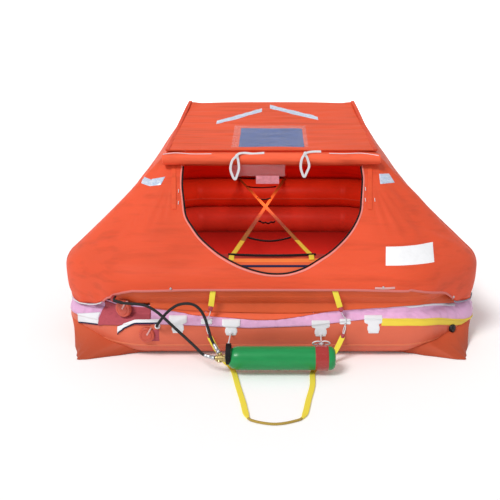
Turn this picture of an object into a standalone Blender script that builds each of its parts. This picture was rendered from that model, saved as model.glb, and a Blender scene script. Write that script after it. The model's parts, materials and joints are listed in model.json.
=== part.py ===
"""Six-seat inflatable life raft, resting on its lower tube with the door rolled up.

Metres, +Z up, the door facing -Y. The origin is on the ground under the middle of the hull.
Two stacked tubes with cut corners make the hull. A main arch and a lower door arch carry the
canopy, which is split into roof, front, rear and side panels.
"""
import math

import bmesh
import bpy
import numpy as np
from mathutils import Vector

# Hull
HULL_WIDTH = 1.71
HULL_LENGTH = 2.48
CORNER_CUT = 0.27
TUBE_R = 0.098
TUBE_SIDES = 16
CORNER_BEVEL = 0.035
GAP = 0.0003
LOWER_Z = TUBE_R
UPPER_Z = 3 * TUBE_R + GAP
HULL_TOP = UPPER_Z + TUBE_R

# Arches
FRONT_ARCH_Y = -0.77
FRONT_ARCH_Z = 0.725
FRONT_ARCH_HALF = 0.42
FRONT_ARCH_R = 0.026
MAIN_ARCH_Y = -0.12
MAIN_ARCH_Z = 0.894
MAIN_ARCH_HALF = 0.385
MAIN_ARCH_R = 0.045

# Canopy
CLOTH = 0.006
ROOF_FRONT_Z = 0.768
ROOF_MAIN_Z = 0.955
SEAM_FRONT_X = 0.452
SEAM_MAIN_X = 0.425
DOOR_HALF = 0.365
DOOR_TOP_Z = 0.70
DOOR_SHOULDER_Z = 0.50
DOOR_SILL_Z = 0.345

# The door, rolled up under the front of the roof
ROLL_HALF = 0.44
ROLL_Y = FRONT_ARCH_Y - 0.0956
ROLL_Z = 0.738
ROLL_R = 0.0235

# Gas bottle, tied to the front of the hull below the door
BOTTLE_R = 0.0435
BOTTLE_Y = -1.385
BOTTLE_Z = 0.063
BOTTLE_X0 = -0.158
BOTTLE_X1 = 0.234
NECK_R = 0.019
BOTTLE_SIDES = 24

# Valves: ring positions at the corners, and the outside of the band between the tubes
INLET_CORNER = 14.5
RELIEF_CORNER = 1.5
RELIEF_Z = LOWER_Z - 0.0165
BAND_OFFSET = 0.0861
BAND_CREASE = 0.0843
BAND_THICK = 0.003
PATCH_THICK = 0.003
NIPPLE_TILT = math.radians(22.5)

# Webbing and hoses
WEB_R = 0.0035
HOSE_R = 0.0055
STRAP_WIDTH = 0.022
STRAP_THICK = 0.002

COLOURS = {
    "orange_tube": ((0.78, 0.17, 0.04, 1), 0.55, 0.0),
    "red_cloth": ((0.86, 0.09, 0.03, 1), 0.6, 0.0),
    "pink_band": ((0.80, 0.62, 0.74, 1), 0.6, 0.0),
    "floor_cloth": ((0.45, 0.05, 0.03, 1), 0.7, 0.0),
    "white_patch": ((0.85, 0.88, 0.90, 1), 0.5, 0.0),
    "yellow_webbing": ((0.85, 0.70, 0.06, 1), 0.7, 0.0),
    "green_bottle": ((0.02, 0.28, 0.09, 1), 0.3, 0.0),
    "black_rubber": ((0.01, 0.01, 0.012, 1), 0.5, 0.0),
    "brass": ((0.55, 0.42, 0.18, 1), 0.35, 1.0),
    "red_strap": ((0.45, 0.04, 0.03, 1), 0.6, 0.0),
    "blue_panel": ((0.03, 0.10, 0.35, 1), 0.5, 0.0),
}


def clear_scene():
    """Remove the objects that the scene starts with."""
    for obj in list(bpy.data.objects):
        bpy.data.objects.remove(obj, do_unlink=True)


def finish(name):
    """The material called name, made once."""
    found = bpy.data.materials.get(name)
    if found:
        return found
    colour, roughness, metallic = COLOURS[name]
    material = bpy.data.materials.new(name)
    material.use_nodes = True
    shader = material.node_tree.nodes["Principled BSDF"]
    shader.inputs["Base Color"].default_value = colour
    shader.inputs["Roughness"].default_value = roughness
    shader.inputs["Metallic"].default_value = metallic
    return material


def new_object(name, vertices, faces, material, smooth=True):
    """A mesh object from points and faces, its faces turned to point out."""
    mesh = bpy.data.meshes.new(name)
    mesh.from_pydata([tuple(v) for v in vertices], [], faces)
    bm = bmesh.new()
    bm.from_mesh(mesh)
    bmesh.ops.recalc_face_normals(bm, faces=bm.faces)
    bm.to_mesh(mesh)
    bm.free()
    obj = bpy.data.objects.new(name, mesh)
    bpy.context.collection.objects.link(obj)
    obj.data.materials.append(finish(material))
    if smooth:
        mesh.shade_smooth()
        mesh.set_sharp_from_angle(angle=math.radians(35))
    return obj


def as_cutter(obj):
    """Mark obj as a guide that only cuts."""
    obj.hide_render = True
    obj.display_type = "WIRE"
    return obj


def cut(obj, cutter):
    """Take cutter's shape out of obj."""
    modifier = obj.modifiers.new("Cut by " + cutter.name, "BOOLEAN")
    modifier.operation = "DIFFERENCE"
    modifier.solver = "EXACT"
    modifier.object = cutter


def grid_faces(rows, columns, close_rows=False, close_columns=False):
    """Quads over a rows x columns grid of points that is numbered row by row."""
    faces = []
    for i in range(rows if close_rows else rows - 1):
        for j in range(columns if close_columns else columns - 1):
            i2, j2 = (i + 1) % rows, (j + 1) % columns
            faces.append((i * columns + j, i * columns + j2, i2 * columns + j2, i2 * columns + j))
    return faces


# The hull's plan, as a ring of corners with the direction in which each one moves outward


def plan_ring():
    """Corners of the tubes' centre line, from the front's middle round by +X, and their mitre vectors."""
    half_x = HULL_WIDTH / 2 - TUBE_R
    half_y = HULL_LENGTH / 2 - TUBE_R
    corner = CORNER_CUT - (2 - math.sqrt(2)) * TUBE_R
    octagon = [(half_x - corner, -half_y), (half_x, -half_y + corner),
               (half_x, half_y - corner), (half_x - corner, half_y),
               (corner - half_x, half_y), (-half_x, half_y - corner),
               (-half_x, corner - half_y), (corner - half_x, -half_y)]
    points = []
    for k, here in enumerate(octagon):
        here = Vector(here)
        for other in (octagon[k - 1], octagon[(k + 1) % 8]):
            step = (Vector(other) - here).normalized() * CORNER_BEVEL
            points.append(here + step)
    mitres = []
    for k, here in enumerate(points):
        before = (here - points[k - 1]).normalized()
        after = (points[(k + 1) % len(points)] - here).normalized()
        normals = [Vector((d.y, -d.x)) for d in (before, after)]
        mitres.append((normals[0] + normals[1]) / (1 + normals[0].dot(normals[1])))
    return points, mitres


RING, MITRES = plan_ring()
RING_COUNT = len(RING)


def hull_xy(position, offset):
    """Plan point at a ring position, corner number plus fraction, moved outward by offset."""
    position = position % RING_COUNT
    k = int(math.floor(position))
    t = position - k
    here = RING[k] + MITRES[k] * offset
    after = RING[(k + 1) % RING_COUNT] + MITRES[(k + 1) % RING_COUNT] * offset
    return here.lerp(after, t)


def on_tube(position, angle, radius, centre_z):
    """Point at a ring position and an angle in degrees from straight out, up positive."""
    a = math.radians(angle)
    flat = hull_xy(position, radius * math.cos(a))
    return Vector((flat.x, flat.y, centre_z + radius * math.sin(a)))


def edge_position(edge, along):
    """Ring position on the straight edge that starts at corner edge, where X or Y equals along."""
    a, b = RING[edge % RING_COUNT], RING[(edge + 1) % RING_COUNT]
    if abs(b.x - a.x) > abs(b.y - a.y):
        return edge + (along - a.x) / (b.x - a.x)
    return edge + (along - a.y) / (b.y - a.y)


# Ring corners: 15 ends the front's bevel at -X, 0 starts the corner at +X, and so on round
FRONT, SIDE_RIGHT, REAR = 15, 3, 7
MIRROR_SUM = 31


def ring_body(name, sections, material):
    """A closed ring from one section, a list of (offset, z), at each position."""
    vertices = []
    for position, section in sections:
        for offset, z in section:
            flat = hull_xy(position, offset)
            vertices.append((flat.x, flat.y, z))
    faces = grid_faces(len(sections), len(sections[0][1]), True, True)
    return new_object(name, vertices, faces, material)


def strip_body(name, sections, material):
    """An open stretch of ring with flat ends."""
    vertices = []
    for position, section in sections:
        for offset, z in section:
            flat = hull_xy(position, offset)
            vertices.append((flat.x, flat.y, z))
    size = len(sections[0][1])
    faces = grid_faces(len(sections), size, False, True)
    last = (len(sections) - 1) * size
    faces.append(tuple(range(size)))
    faces.append(tuple(last + j for j in range(size)))
    return new_object(name, vertices, faces, material)


def tube_section(radius, centre_z, sides=TUBE_SIDES):
    """Polygon round a circle, with a flat below and above."""
    corner_r = radius / math.cos(math.pi / sides)
    return [(corner_r * math.cos((k + 0.5) * 2 * math.pi / sides),
             centre_z + corner_r * math.sin((k + 0.5) * 2 * math.pi / sides))
            for k in range(sides)]


def hull_tube(name, centre_z, radius=TUBE_R):
    """One of the hull's two tubes."""
    section = tube_section(radius, centre_z)
    return ring_body(name, [(k, section) for k in range(RING_COUNT)], "orange_tube")


def build_hull():
    """Both tubes, the floor, the band over the joint, and the pockets at the corners."""
    hull_tube("lower_tube", LOWER_Z)
    hull_tube("upper_tube", UPPER_Z)
    build_floor()
    build_band()
    build_pockets()


def build_floor():
    """The floor sheet, inside the foot of the lower tube."""
    corner_r = TUBE_R / math.cos(math.pi / TUBE_SIDES)
    edge = math.radians(1.5 * 360 / TUBE_SIDES)
    reach = -(corner_r * math.sin(edge) + GAP)
    top = TUBE_R - corner_r * math.cos(edge)
    bottom = 0.0
    vertices = []
    for z in (bottom, top):
        for k in range(RING_COUNT):
            flat = hull_xy(k, reach)
            vertices.append((flat.x, flat.y, z))
    faces = [tuple(range(RING_COUNT)), tuple(range(RING_COUNT, 2 * RING_COUNT))]
    faces += grid_faces(2, RING_COUNT, False, True)
    new_object("floor", vertices, faces, "floor_cloth", smooth=False)


def band_section(climb):
    """Section of the band. It backs onto the lower tube, and as far as climb, 0 to 1, onto the upper one."""
    inside = (TUBE_R + GAP) / math.cos(math.pi / TUBE_SIDES)
    outside = inside + BAND_THICK
    low, high = math.radians(1.5 * 360 / TUBE_SIDES), math.radians(2.5 * 360 / TUBE_SIDES)

    def at(radius, angle, centre_z):
        return Vector((radius * math.cos(angle), centre_z + radius * math.sin(angle)))

    foot, crease_low = at(inside, low, LOWER_Z), at(inside, high, LOWER_Z)
    tip = at(outside, high, LOWER_Z)
    tucked = [crease_low.lerp(tip, 0.6), crease_low.lerp(tip, 0.8), tip, at(outside, high - 0.1, LOWER_Z)]
    climbing = [at(inside, -high, UPPER_Z), at(inside, -low, UPPER_Z), at(outside, -low, UPPER_Z),
                Vector((BAND_CREASE, 2 * TUBE_R))]
    moving = [a.lerp(b, climb) for a, b in zip(tucked, climbing)]
    return [tuple(p) for p in [foot, crease_low] + moving + [at(outside, low, LOWER_Z)]]


def build_band():
    """The pale band over the tubes' joint: it sinks into the crease in the middle of the front and rear."""
    sections = []
    for edge in (FRONT, REAR):
        sections.append((edge_position(edge, 0.0), band_section(0.0)))
        sections += [(edge + k, band_section(1.0)) for k in range(1, 9)]
    build = sorted(sections, key=lambda pair: pair[0] % RING_COUNT)
    ring_body("hull_band", build, "pink_band")


def build_pockets():
    """A water pocket at each corner: cloth that hangs from the lower tube to the ground."""
    cutter = as_cutter(hull_tube("pocket_cutter", LOWER_Z, TUBE_R + GAP))
    to_side = [(0, 0.085), (1, 0.150), (1.15, 0.215), (2, 0.105), (3, 0.085)]
    to_front = [(3 - step, reach) for step, reach in reversed(to_side)]
    front_share, side_share = 0.10, 0.057
    for name, edge, stations, before, after in (("pocket_front_right", 0, to_side, front_share, side_share),
                                                ("pocket_rear_right", 4, to_front, side_share, front_share),
                                                ("pocket_rear_left", 8, to_side, front_share, side_share),
                                                ("pocket_front_left", 12, to_front, side_share, front_share)):
        sections = []
        for step, reach in [(-before, 0.078)] + stations + [(3 + after, 0.078)]:
            section = [(0.03, 0.0006), (reach, 0.0006), (0.0985, 0.062), (0.085, 0.062)]
            sections.append((edge + step, section))
        pocket = strip_body(name, sections, "orange_tube")
        cut(pocket, cutter)


# Arches: round tubes swept along a bent line


def swept_tube(name, path, radius, sides, material):
    """A round tube along a line of points, with flat ends."""
    path = [Vector(p) for p in path]
    vertices = []
    side = None
    for k, here in enumerate(path):
        before = path[max(k - 1, 0)]
        after = path[min(k + 1, len(path) - 1)]
        ahead = (after - before).normalized()
        into = (here - before).normalized() if k else ahead
        stretch = 1 / max(into.dot(ahead), 0.5)
        if side is None:
            side = ahead.orthogonal().normalized()
        side = (side - ahead * side.dot(ahead)).normalized()
        up = ahead.cross(side)
        bend = (after - here).normalized() - into if 0 < k < len(path) - 1 else Vector()
        bend = bend.normalized() if bend.length > 1e-6 else Vector()
        for j in range(sides):
            a = 2 * math.pi * (j + 0.5) / sides
            spoke = (side * math.cos(a) + up * math.sin(a)) * radius
            vertices.append(here + spoke + bend * spoke.dot(bend) * (stretch - 1))
    faces = grid_faces(len(path), sides, False, True)
    last = (len(path) - 1) * sides
    faces.append(tuple(range(sides)))
    faces.append(tuple(last + j for j in range(sides)))
    return new_object(name, vertices, faces, material)


def arch_path(foot, shoulder, bend, steps=3):
    """Half of an arch from its foot to the middle, with a round bend at the shoulder."""
    foot, shoulder = Vector(foot), Vector(shoulder)
    middle = Vector((0, shoulder.y, shoulder.z))
    start = shoulder + (foot - shoulder).normalized() * bend
    end = shoulder + (middle - shoulder).normalized() * bend
    path = [foot]
    for k in range(steps + 1):
        t = k / steps
        path.append(start * (1 - t) ** 2 + shoulder * 2 * t * (1 - t) + end * t ** 2)
    path.append(middle)
    return path


def both_sides(half):
    """A path that starts on -X and goes on mirrored to +X."""
    return half + [Vector((-p.x, p.y, p.z)) for p in reversed(half[:-1])]


def build_arches():
    """The door arch leans forward to the front tube, and the main arch stands on the side tubes."""
    cutter = as_cutter(hull_tube("arch_cutter", UPPER_Z, TUBE_R + GAP))
    front = arch_path((-0.395, -1.135, HULL_TOP - 0.02),
                      (-FRONT_ARCH_HALF, FRONT_ARCH_Y, FRONT_ARCH_Z), 0.05)
    main = arch_path((-0.735, MAIN_ARCH_Y, HULL_TOP - 0.04),
                     (-MAIN_ARCH_HALF, MAIN_ARCH_Y, MAIN_ARCH_Z), 0.09)
    cut(swept_tube("door_arch", both_sides(front), FRONT_ARCH_R, 10, "orange_tube"), cutter)
    cut(swept_tube("main_arch", both_sides(main), MAIN_ARCH_R, 12, "orange_tube"), cutter)


# Canopy: columns of points from a top edge down to the tube's outer side


FACET_STEP = 360 / TUBE_SIDES
FACET_R = (TUBE_R + GAP) / math.cos(math.pi / TUBE_SIDES)
ROW_ANGLES = (2.5 * FACET_STEP, 1.5 * FACET_STEP, 0.5 * FACET_STEP, -0.5 * FACET_STEP)
FREE_ROWS = 4


def canopy_columns():
    """(top point, ring position) of each column, from the front's middle round by +X to the rear's middle."""
    front_top = ROOF_FRONT_Z - 0.006
    right = [
        ((0.0, FRONT_ARCH_Y - 0.036, front_top), edge_position(FRONT, 0.0)),
        ((0.20, FRONT_ARCH_Y - 0.036, front_top), edge_position(FRONT, 0.22)),
        ((0.40, FRONT_ARCH_Y - 0.034, front_top), edge_position(FRONT, 0.42)),
        ((0.44, FRONT_ARCH_Y - 0.028, front_top - 0.002), 16.0),
        ((0.448, FRONT_ARCH_Y - 0.018, front_top - 0.004), 17.0),
        ((SEAM_FRONT_X, FRONT_ARCH_Y - 0.01, front_top - 0.006), 18.0),
        ((SEAM_FRONT_X, FRONT_ARCH_Y + 0.01, front_top - 0.004), 19.0),
        ((0.44, -0.45, 0.853), 16 + edge_position(SIDE_RIGHT, -0.45)),
        ((SEAM_MAIN_X, MAIN_ARCH_Y, ROOF_MAIN_Z - 0.02), 16 + edge_position(SIDE_RIGHT, -0.10)),
        ((SEAM_MAIN_X - 0.005, MAIN_ARCH_Y + 0.02, ROOF_MAIN_Z - 0.021),
         16 + edge_position(SIDE_RIGHT, 0.40)),
        ((SEAM_MAIN_X - 0.02, MAIN_ARCH_Y + 0.03, ROOF_MAIN_Z - 0.018), 20.0),
        ((SEAM_MAIN_X - 0.045, MAIN_ARCH_Y + 0.034, ROOF_MAIN_Z - 0.014), 21.0),
        ((SEAM_MAIN_X - 0.065, MAIN_ARCH_Y + 0.036, ROOF_MAIN_Z - 0.011), 22.0),
        ((SEAM_MAIN_X - 0.09, MAIN_ARCH_Y + 0.038, ROOF_MAIN_Z - 0.009), 23.0),
        ((0.0, MAIN_ARCH_Y + 0.04, ROOF_MAIN_Z - 0.006), 16 + edge_position(REAR, 0.0)),
    ]
    return right


def tangent_angle(top, position):
    """Angle on the tube at which a straight line from top touches it."""
    centre = hull_xy(position, 0)
    out = (hull_xy(position, 1) - centre).normalized()
    reach = (Vector(top).xy - centre).dot(out)
    rise = top[2] - UPPER_Z
    return math.degrees(math.atan2(rise, reach) - math.acos(FACET_R / math.hypot(reach, rise)))


def column_points(top, position, thickness):
    """Points of one column from its top to the tube's outer side, thickness clear of the tube."""
    free = FREE_ROWS if tangent_angle(top, position) > 2 * FACET_STEP else FREE_ROWS + 1
    on_hull = [on_tube(position, angle, FACET_R + thickness, UPPER_Z)
               for angle in ROW_ANGLES[free - FREE_ROWS:]]
    points = [Vector(top).lerp(on_hull[0], k / free) for k in range(free)]
    return [np.array(p) for p in points + on_hull]


def canopy_shell():
    """Outer and inner points of the whole canopy round the hull, column by column."""
    right = canopy_columns()
    left = [((-x, y, z), MIRROR_SUM - position) for (x, y, z), position in reversed(right[1:-1])]
    columns = right + left
    outer = np.array([column_points(top, position, CLOTH) for top, position in columns])
    tops, below = outer[:, 0], outer[:, 1]

    def unit(v):
        return v / np.linalg.norm(v, axis=-1, keepdims=True)

    down = below - tops
    normals = unit(np.cross(unit(np.roll(below, -1, axis=0) - below), down))
    before = np.roll(normals, 1, axis=0)
    mean = unit(normals + before)
    share = np.sum(mean * normals, axis=-1, keepdims=True)
    inward = mean / share
    facing = np.sum(inward * down * (0, 0, 1), axis=-1, keepdims=True)
    inward = np.where(facing > 0, inward, -inward)
    inner = np.array([column_points(tuple(top + shift * CLOTH), position, 0.0)
                      for top, shift, (_, position) in zip(tops, inward, columns)])
    return outer, inner


def panel(name, outer, inner, numbers, cutter=None):
    """One panel of the canopy from the named columns, drawn in a hair at its side seams."""
    outside = [outer[k].copy() for k in numbers]
    inside = [inner[k].copy() for k in numbers]
    for shell in (outside, inside):
        for end, beside in ((0, 1), (-1, -2)):
            step = shell[beside] - shell[end]
            shell[end] += step / np.linalg.norm(step, axis=-1, keepdims=True) * GAP
    columns, rows = len(numbers), outer.shape[1]
    vertices = np.concatenate([np.array(outside).reshape(-1, 3), np.array(inside).reshape(-1, 3)])
    size = columns * rows
    skin = grid_faces(columns, rows)
    faces = skin + [tuple(size + i for i in reversed(face)) for face in skin]
    border = [j for j in range(rows)]
    border += [i * rows + rows - 1 for i in range(1, columns)]
    border += [(columns - 1) * rows + j for j in range(rows - 2, -1, -1)]
    border += [i * rows for i in range(columns - 2, 0, -1)]
    for k, a in enumerate(border):
        b = border[(k + 1) % len(border)]
        upper, lower = (a, b) if a % rows <= b % rows else (b, a)
        faces += [(upper, lower, size + lower), (upper, size + lower, size + upper)]
    obj = new_object(name, vertices, faces, "red_cloth")
    if cutter:
        cut(obj, cutter)
    return obj


def door_cutter():
    """The door's outline, straight sides above and a half ellipse below, run through along Y."""
    depth = DOOR_SHOULDER_Z - DOOR_SILL_Z
    outline = [(-DOOR_HALF, DOOR_TOP_Z)]
    steps = 14
    for k in range(steps + 1):
        a = math.pi * k / steps
        outline.append((-DOOR_HALF * math.cos(a), DOOR_SHOULDER_Z - depth * math.sin(a)))
    outline.append((DOOR_HALF, DOOR_TOP_Z))
    count = len(outline)
    vertices = [(x, y, z) for y in (-1.30, -0.70) for x, z in outline]
    faces = [tuple(range(count)), tuple(range(count, 2 * count))]
    faces += grid_faces(2, count, False, True)
    return as_cutter(new_object("door_cutter", vertices, faces, "red_cloth", smooth=False))


def build_canopy():
    """Front, side and rear panels round the hull, and the roof between the two arches."""
    outer, inner = canopy_shell()
    total = len(outer)
    front_hip, rear_hip = 6, 11
    front = [(k % total) for k in range(-front_hip, front_hip + 1)]
    right = list(range(front_hip, rear_hip + 1))
    rear = list(range(rear_hip, total - rear_hip + 1))
    left = list(range(total - rear_hip, total - front_hip + 1))
    panel("canopy_front", outer, inner, front, door_cutter())
    panel("canopy_side_right", outer, inner, right)
    panel("canopy_rear", outer, inner, rear)
    panel("canopy_side_left", outer, inner, left)
    build_roof()


def build_roof():
    """The roof panel, which slopes from the main arch down to the door arch."""
    inset = 0.012
    rows, columns = 5, 7
    top = []
    for i in range(rows):
        t = i / (rows - 1)
        y = (FRONT_ARCH_Y - 0.02) * (1 - t) + (MAIN_ARCH_Y + 0.02) * t
        half = (SEAM_FRONT_X * (1 - t) + SEAM_MAIN_X * t) - inset
        z = ROOF_FRONT_Z * (1 - t) + ROOF_MAIN_Z * t
        for j in range(columns):
            s = -1 + 2 * j / (columns - 1)
            top.append((half * s, y, z - 0.012 * s ** 4 * t))
    count = len(top)
    vertices = top + [(x, y, z - CLOTH) for x, y, z in top]
    skin = grid_faces(rows, columns)
    faces = skin + [tuple(count + i for i in reversed(face)) for face in skin]
    border = [j for j in range(columns)]
    border += [i * columns + columns - 1 for i in range(1, rows)]
    border += [(rows - 1) * columns + j for j in range(columns - 2, -1, -1)]
    border += [i * columns for i in range(rows - 2, 0, -1)]
    for k, a in enumerate(border):
        b = border[(k + 1) % len(border)]
        faces.append((a, b, count + b, count + a))
    new_object("canopy_roof", vertices, faces, "red_cloth")


# Flat pieces that hug the hull


def outward(position):
    """Unit vector square to the ring's edge at a position, out of the hull and level with the ground."""
    k = int(math.floor(position)) % RING_COUNT
    ahead = (RING[(k + 1) % RING_COUNT] - RING[k]).normalized()
    return Vector((ahead.y, -ahead.x, 0))


def facet_radius(angle, extra):
    """Distance from a tube's centre to the plane extra above its facet, at an angle in degrees."""
    middle = round(angle / FACET_STEP) * FACET_STEP
    return (TUBE_R + GAP + extra) / math.cos(math.radians(angle - middle))


def hugging_patch(name, position, profile, thickness, centre_z, material):
    """A plate bent round a tube. profile rows: angle in degrees, half width."""
    centre = hull_xy(position, 0)
    out = outward(position).xy
    along = Vector((-out.y, out.x))
    vertices = []
    for extra in (0.0, thickness):
        for angle, half in profile:
            radius = facet_radius(angle, extra)
            a = math.radians(angle)
            for side in (-half, half):
                flat = centre + out * radius * math.cos(a) + along * side
                vertices.append((flat.x, flat.y, centre_z + radius * math.sin(a)))
    rows = len(profile)
    size = rows * 2
    faces = []
    for i in range(rows - 1):
        k = 2 * i
        faces += [(k, k + 1, k + 3, k + 2), (size + k + 2, size + k + 3, size + k + 1, size + k)]
        faces += [(k, k + 2, size + k + 2, size + k), (k + 1, size + k + 1, size + k + 3, k + 3)]
    faces += [(0, size, size + 1, 1), (size - 2, size - 1, 2 * size - 1, 2 * size - 2)]
    return new_object(name, vertices, faces, material, smooth=False)


T_PATCH = [(31.5, 0.030), (13.0, 0.030), (12.0, 0.015), (11.25, 0.015), (0.0, 0.015)]
SMALL_PATCH = [(31.5, 0.017), (22.0, 0.017)]
SQUARE_PATCH = [(31.5, 0.034), (11.25, 0.034), (4.0, 0.034)]

# Middles of the patches and tabs along the front, sides and rear, and the ring position of the tow patch
LINE_PATCH_X = {"left": -0.362, "bottle_left": -0.156, "bottle_right": 0.190, "right": 0.394}
LADDER_PATCH_X = {"left": -0.251, "right": 0.285}
LADDER_TAB_X = {"left": -0.227, "right": 0.252}
SIDE_PATCH_Y = {"fore": -0.52, "mid": 0.02, "aft": 0.56}
REAR_PATCH_X = {"left": -0.30, "right": 0.30}
TOW_POSITION = 14.3
PATCH_HALF = T_PATCH[0][1]
PATCH_FACE = -HULL_LENGTH / 2 - GAP - PATCH_THICK
BELT_ANGLES = (21.0, 31.5)
BELT_END_Y = -0.86


def line_patches():
    """White patches on the lower tube: T shapes that the lines and the bottle hang from, and small ones."""
    for label, x in LINE_PATCH_X.items():
        hugging_patch("line_patch_" + label, edge_position(FRONT, x), T_PATCH, PATCH_THICK, LOWER_Z,
                      "white_patch")
    for label, x in LADDER_PATCH_X.items():
        hugging_patch("ladder_patch_" + label, edge_position(FRONT, x), SMALL_PATCH, PATCH_THICK, LOWER_Z,
                      "white_patch")
    for side, edge in (("right", SIDE_RIGHT), ("left", SIDE_RIGHT + 8)):
        for place, y in SIDE_PATCH_Y.items():
            hugging_patch("line_patch_" + side + "_" + place, edge_position(edge, y), T_PATCH, PATCH_THICK,
                          LOWER_Z, "white_patch")
    for place, x in REAR_PATCH_X.items():
        hugging_patch("line_patch_rear_" + place, edge_position(REAR, x), T_PATCH, PATCH_THICK, LOWER_Z,
                      "white_patch")
    hugging_patch("tow_patch", TOW_POSITION, SQUARE_PATCH, PATCH_THICK, LOWER_Z, "white_patch")


def yellow_belt():
    """Yellow webbing along the lower tube, from the right-hand patch round the corner."""
    low, high = BELT_ANGLES
    section = []
    for angle, extra in ((low, 0.0), (high, 0.0), (high, PATCH_THICK), (low, PATCH_THICK)):
        radius, a = facet_radius(angle, extra), math.radians(angle)
        section.append((radius * math.cos(a), LOWER_Z + radius * math.sin(a)))
    start = edge_position(FRONT, LINE_PATCH_X["right"] + PATCH_HALF + 0.001) - RING_COUNT
    stops = [start, 0, 1, 2, 3, edge_position(SIDE_RIGHT, BELT_END_Y)]
    strip_body("yellow_belt", [(p, section) for p in stops], "yellow_webbing")


# Round pieces


def turned(name, profile, origin, axis, sides, material):
    """A solid turned about an axis. profile rows: distance along the axis, radius; ends are closed."""
    axis = Vector(axis).normalized()
    side = axis.orthogonal().normalized()
    up = axis.cross(side)
    vertices = []
    for along, radius in profile:
        for j in range(sides):
            a = 2 * math.pi * j / sides
            spoke = side * math.cos(a) + up * math.sin(a)
            vertices.append(Vector(origin) + axis * along + spoke * radius)
    faces = grid_faces(len(profile), sides, False, True)
    last = (len(profile) - 1) * sides
    faces += [tuple(range(sides)), tuple(last + j for j in range(sides))]
    return new_object(name, vertices, faces, material)


# Length of the bottle's dome, place and width of the strap round it, and radius of the ties
CROWN = 0.040
STRAP_X, STRAP_WIDE = 0.160, 0.048
TIE_R = 0.003


def build_bottle():
    """The green bottle with its valve, neck sleeve, red band and the ties to the tube."""
    length = BOTTLE_X1 - BOTTLE_X0
    profile = [(0.0, NECK_R)]
    for k in range(1, 6):
        a = math.pi / 2 * k / 5
        profile.append((CROWN * (1 - math.cos(a)), NECK_R + (BOTTLE_R - NECK_R) * math.sin(a)))
    profile += [(length - 0.018, BOTTLE_R), (length - 0.006, BOTTLE_R * 0.93), (length, BOTTLE_R * 0.72)]
    origin = (BOTTLE_X0, BOTTLE_Y, BOTTLE_Z)
    turned("gas_bottle", profile, origin, (1, 0, 0), BOTTLE_SIDES, "green_bottle")
    turned("neck_sleeve", [(0.0, 0.034), (0.018, 0.034)],
           (BOTTLE_X0 - 0.0183, BOTTLE_Y, BOTTLE_Z), (1, 0, 0), 20, "black_rubber")
    turned("bottle_valve", [(0.0, 0.011), (0.012, 0.014), (0.030, 0.014)],
           (BOTTLE_X0 - 0.0486, BOTTLE_Y, BOTTLE_Z), (1, 0, 0), 14, "brass")
    inner, outer = BOTTLE_R + GAP, BOTTLE_R + 0.0025
    vertices = []
    for x, radius in ((0, inner), (0, outer), (STRAP_WIDE, outer), (STRAP_WIDE, inner)):
        for j in range(BOTTLE_SIDES):
            a = 2 * math.pi * j / BOTTLE_SIDES
            vertices.append((STRAP_X + x, BOTTLE_Y + radius * math.cos(a), BOTTLE_Z + radius * math.sin(a)))
    new_object("bottle_band", vertices, grid_faces(4, BOTTLE_SIDES, True, True), "red_strap")
    tie_y = PATCH_FACE - 0.0011
    for label, start, end in (
            ("left", (LINE_PATCH_X["bottle_left"], tie_y, 0.100),
             (BOTTLE_X0 - 0.009, BOTTLE_Y + 0.0211, BOTTLE_Z + 0.0295)),
            ("right", (LINE_PATCH_X["bottle_right"], tie_y, 0.100),
             (STRAP_X + STRAP_WIDE / 2, BOTTLE_Y + 0.0328, BOTTLE_Z + 0.0360))):
        swept_tube("bottle_tie_" + label, [start, end], TIE_R, 8, "white_patch")


# The lower inlet valve on the front of the lower tube, the hose nipple above it, and the elbow's line
LOW_INLET_X, LOW_INLET_Z = -0.481, 0.100
NIPPLE_X, NIPPLE_ANGLE = -0.440, 20.0
ELBOW = [(-0.6085, -1.2030, 0.2435), (-0.606, -1.240, 0.243), (-0.594, -1.254, 0.241),
         (-0.5665, -1.262, 0.2355)]
ELBOW_R = 0.0085


def build_valves():
    """Inflation valves at the front left, the hoses' fittings, and the relief valve at the right corner."""
    seat = hull_xy(INLET_CORNER, BAND_OFFSET + GAP)
    turned("inlet_valve_upper", [(0.0, 0.033), (0.009, 0.031), (0.013, 0.022)],
           (seat.x, seat.y, 2 * TUBE_R), outward(INLET_CORNER), 18, "red_strap")
    turned("inlet_valve_lower", [(0.0, 0.030), (0.010, 0.028), (0.014, 0.019)],
           (LOW_INLET_X, -HULL_LENGTH / 2 - GAP, LOW_INLET_Z), (0, -1, 0), 18, "red_strap")
    seat = hull_xy(RELIEF_CORNER, TUBE_R + GAP)
    turned("relief_valve", [(0.0, 0.016), (0.012, 0.014)], (seat.x, seat.y, RELIEF_Z), outward(RELIEF_CORNER),
           14, "black_rubber")
    swept_tube("hose_elbow", ELBOW, ELBOW_R, 10, "black_rubber")
    seat = on_tube(edge_position(FRONT, NIPPLE_X), NIPPLE_ANGLE, facet_radius(NIPPLE_ANGLE, 0.0), LOWER_Z)
    turned("hose_nipple", [(0.0, 0.009), (0.014, 0.0075)], seat,
           (0, -math.cos(NIPPLE_TILT), math.sin(NIPPLE_TILT)), 12, "white_patch")


# Cords: smooth curves through a few points


def smooth_route(points, spacing):
    """Points about spacing apart on a Catmull-Rom curve through points."""
    points = [Vector(p) for p in points]
    padded = [points[0] * 2 - points[1]] + points + [points[-1] * 2 - points[-2]]
    route = [points[0]]
    for p0, p1, p2, p3 in zip(padded, padded[1:], padded[2:], padded[3:]):
        steps = max(2, int(round((p2 - p1).length / spacing)))
        for k in range(1, steps + 1):
            t = k / steps
            route.append(0.5 * (2 * p1 + (p2 - p0) * t + (2 * p0 - 5 * p1 + 4 * p2 - p3) * t ** 2
                                + (3 * p1 - p0 - 3 * p2 + p3) * t ** 3))
    return route


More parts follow.
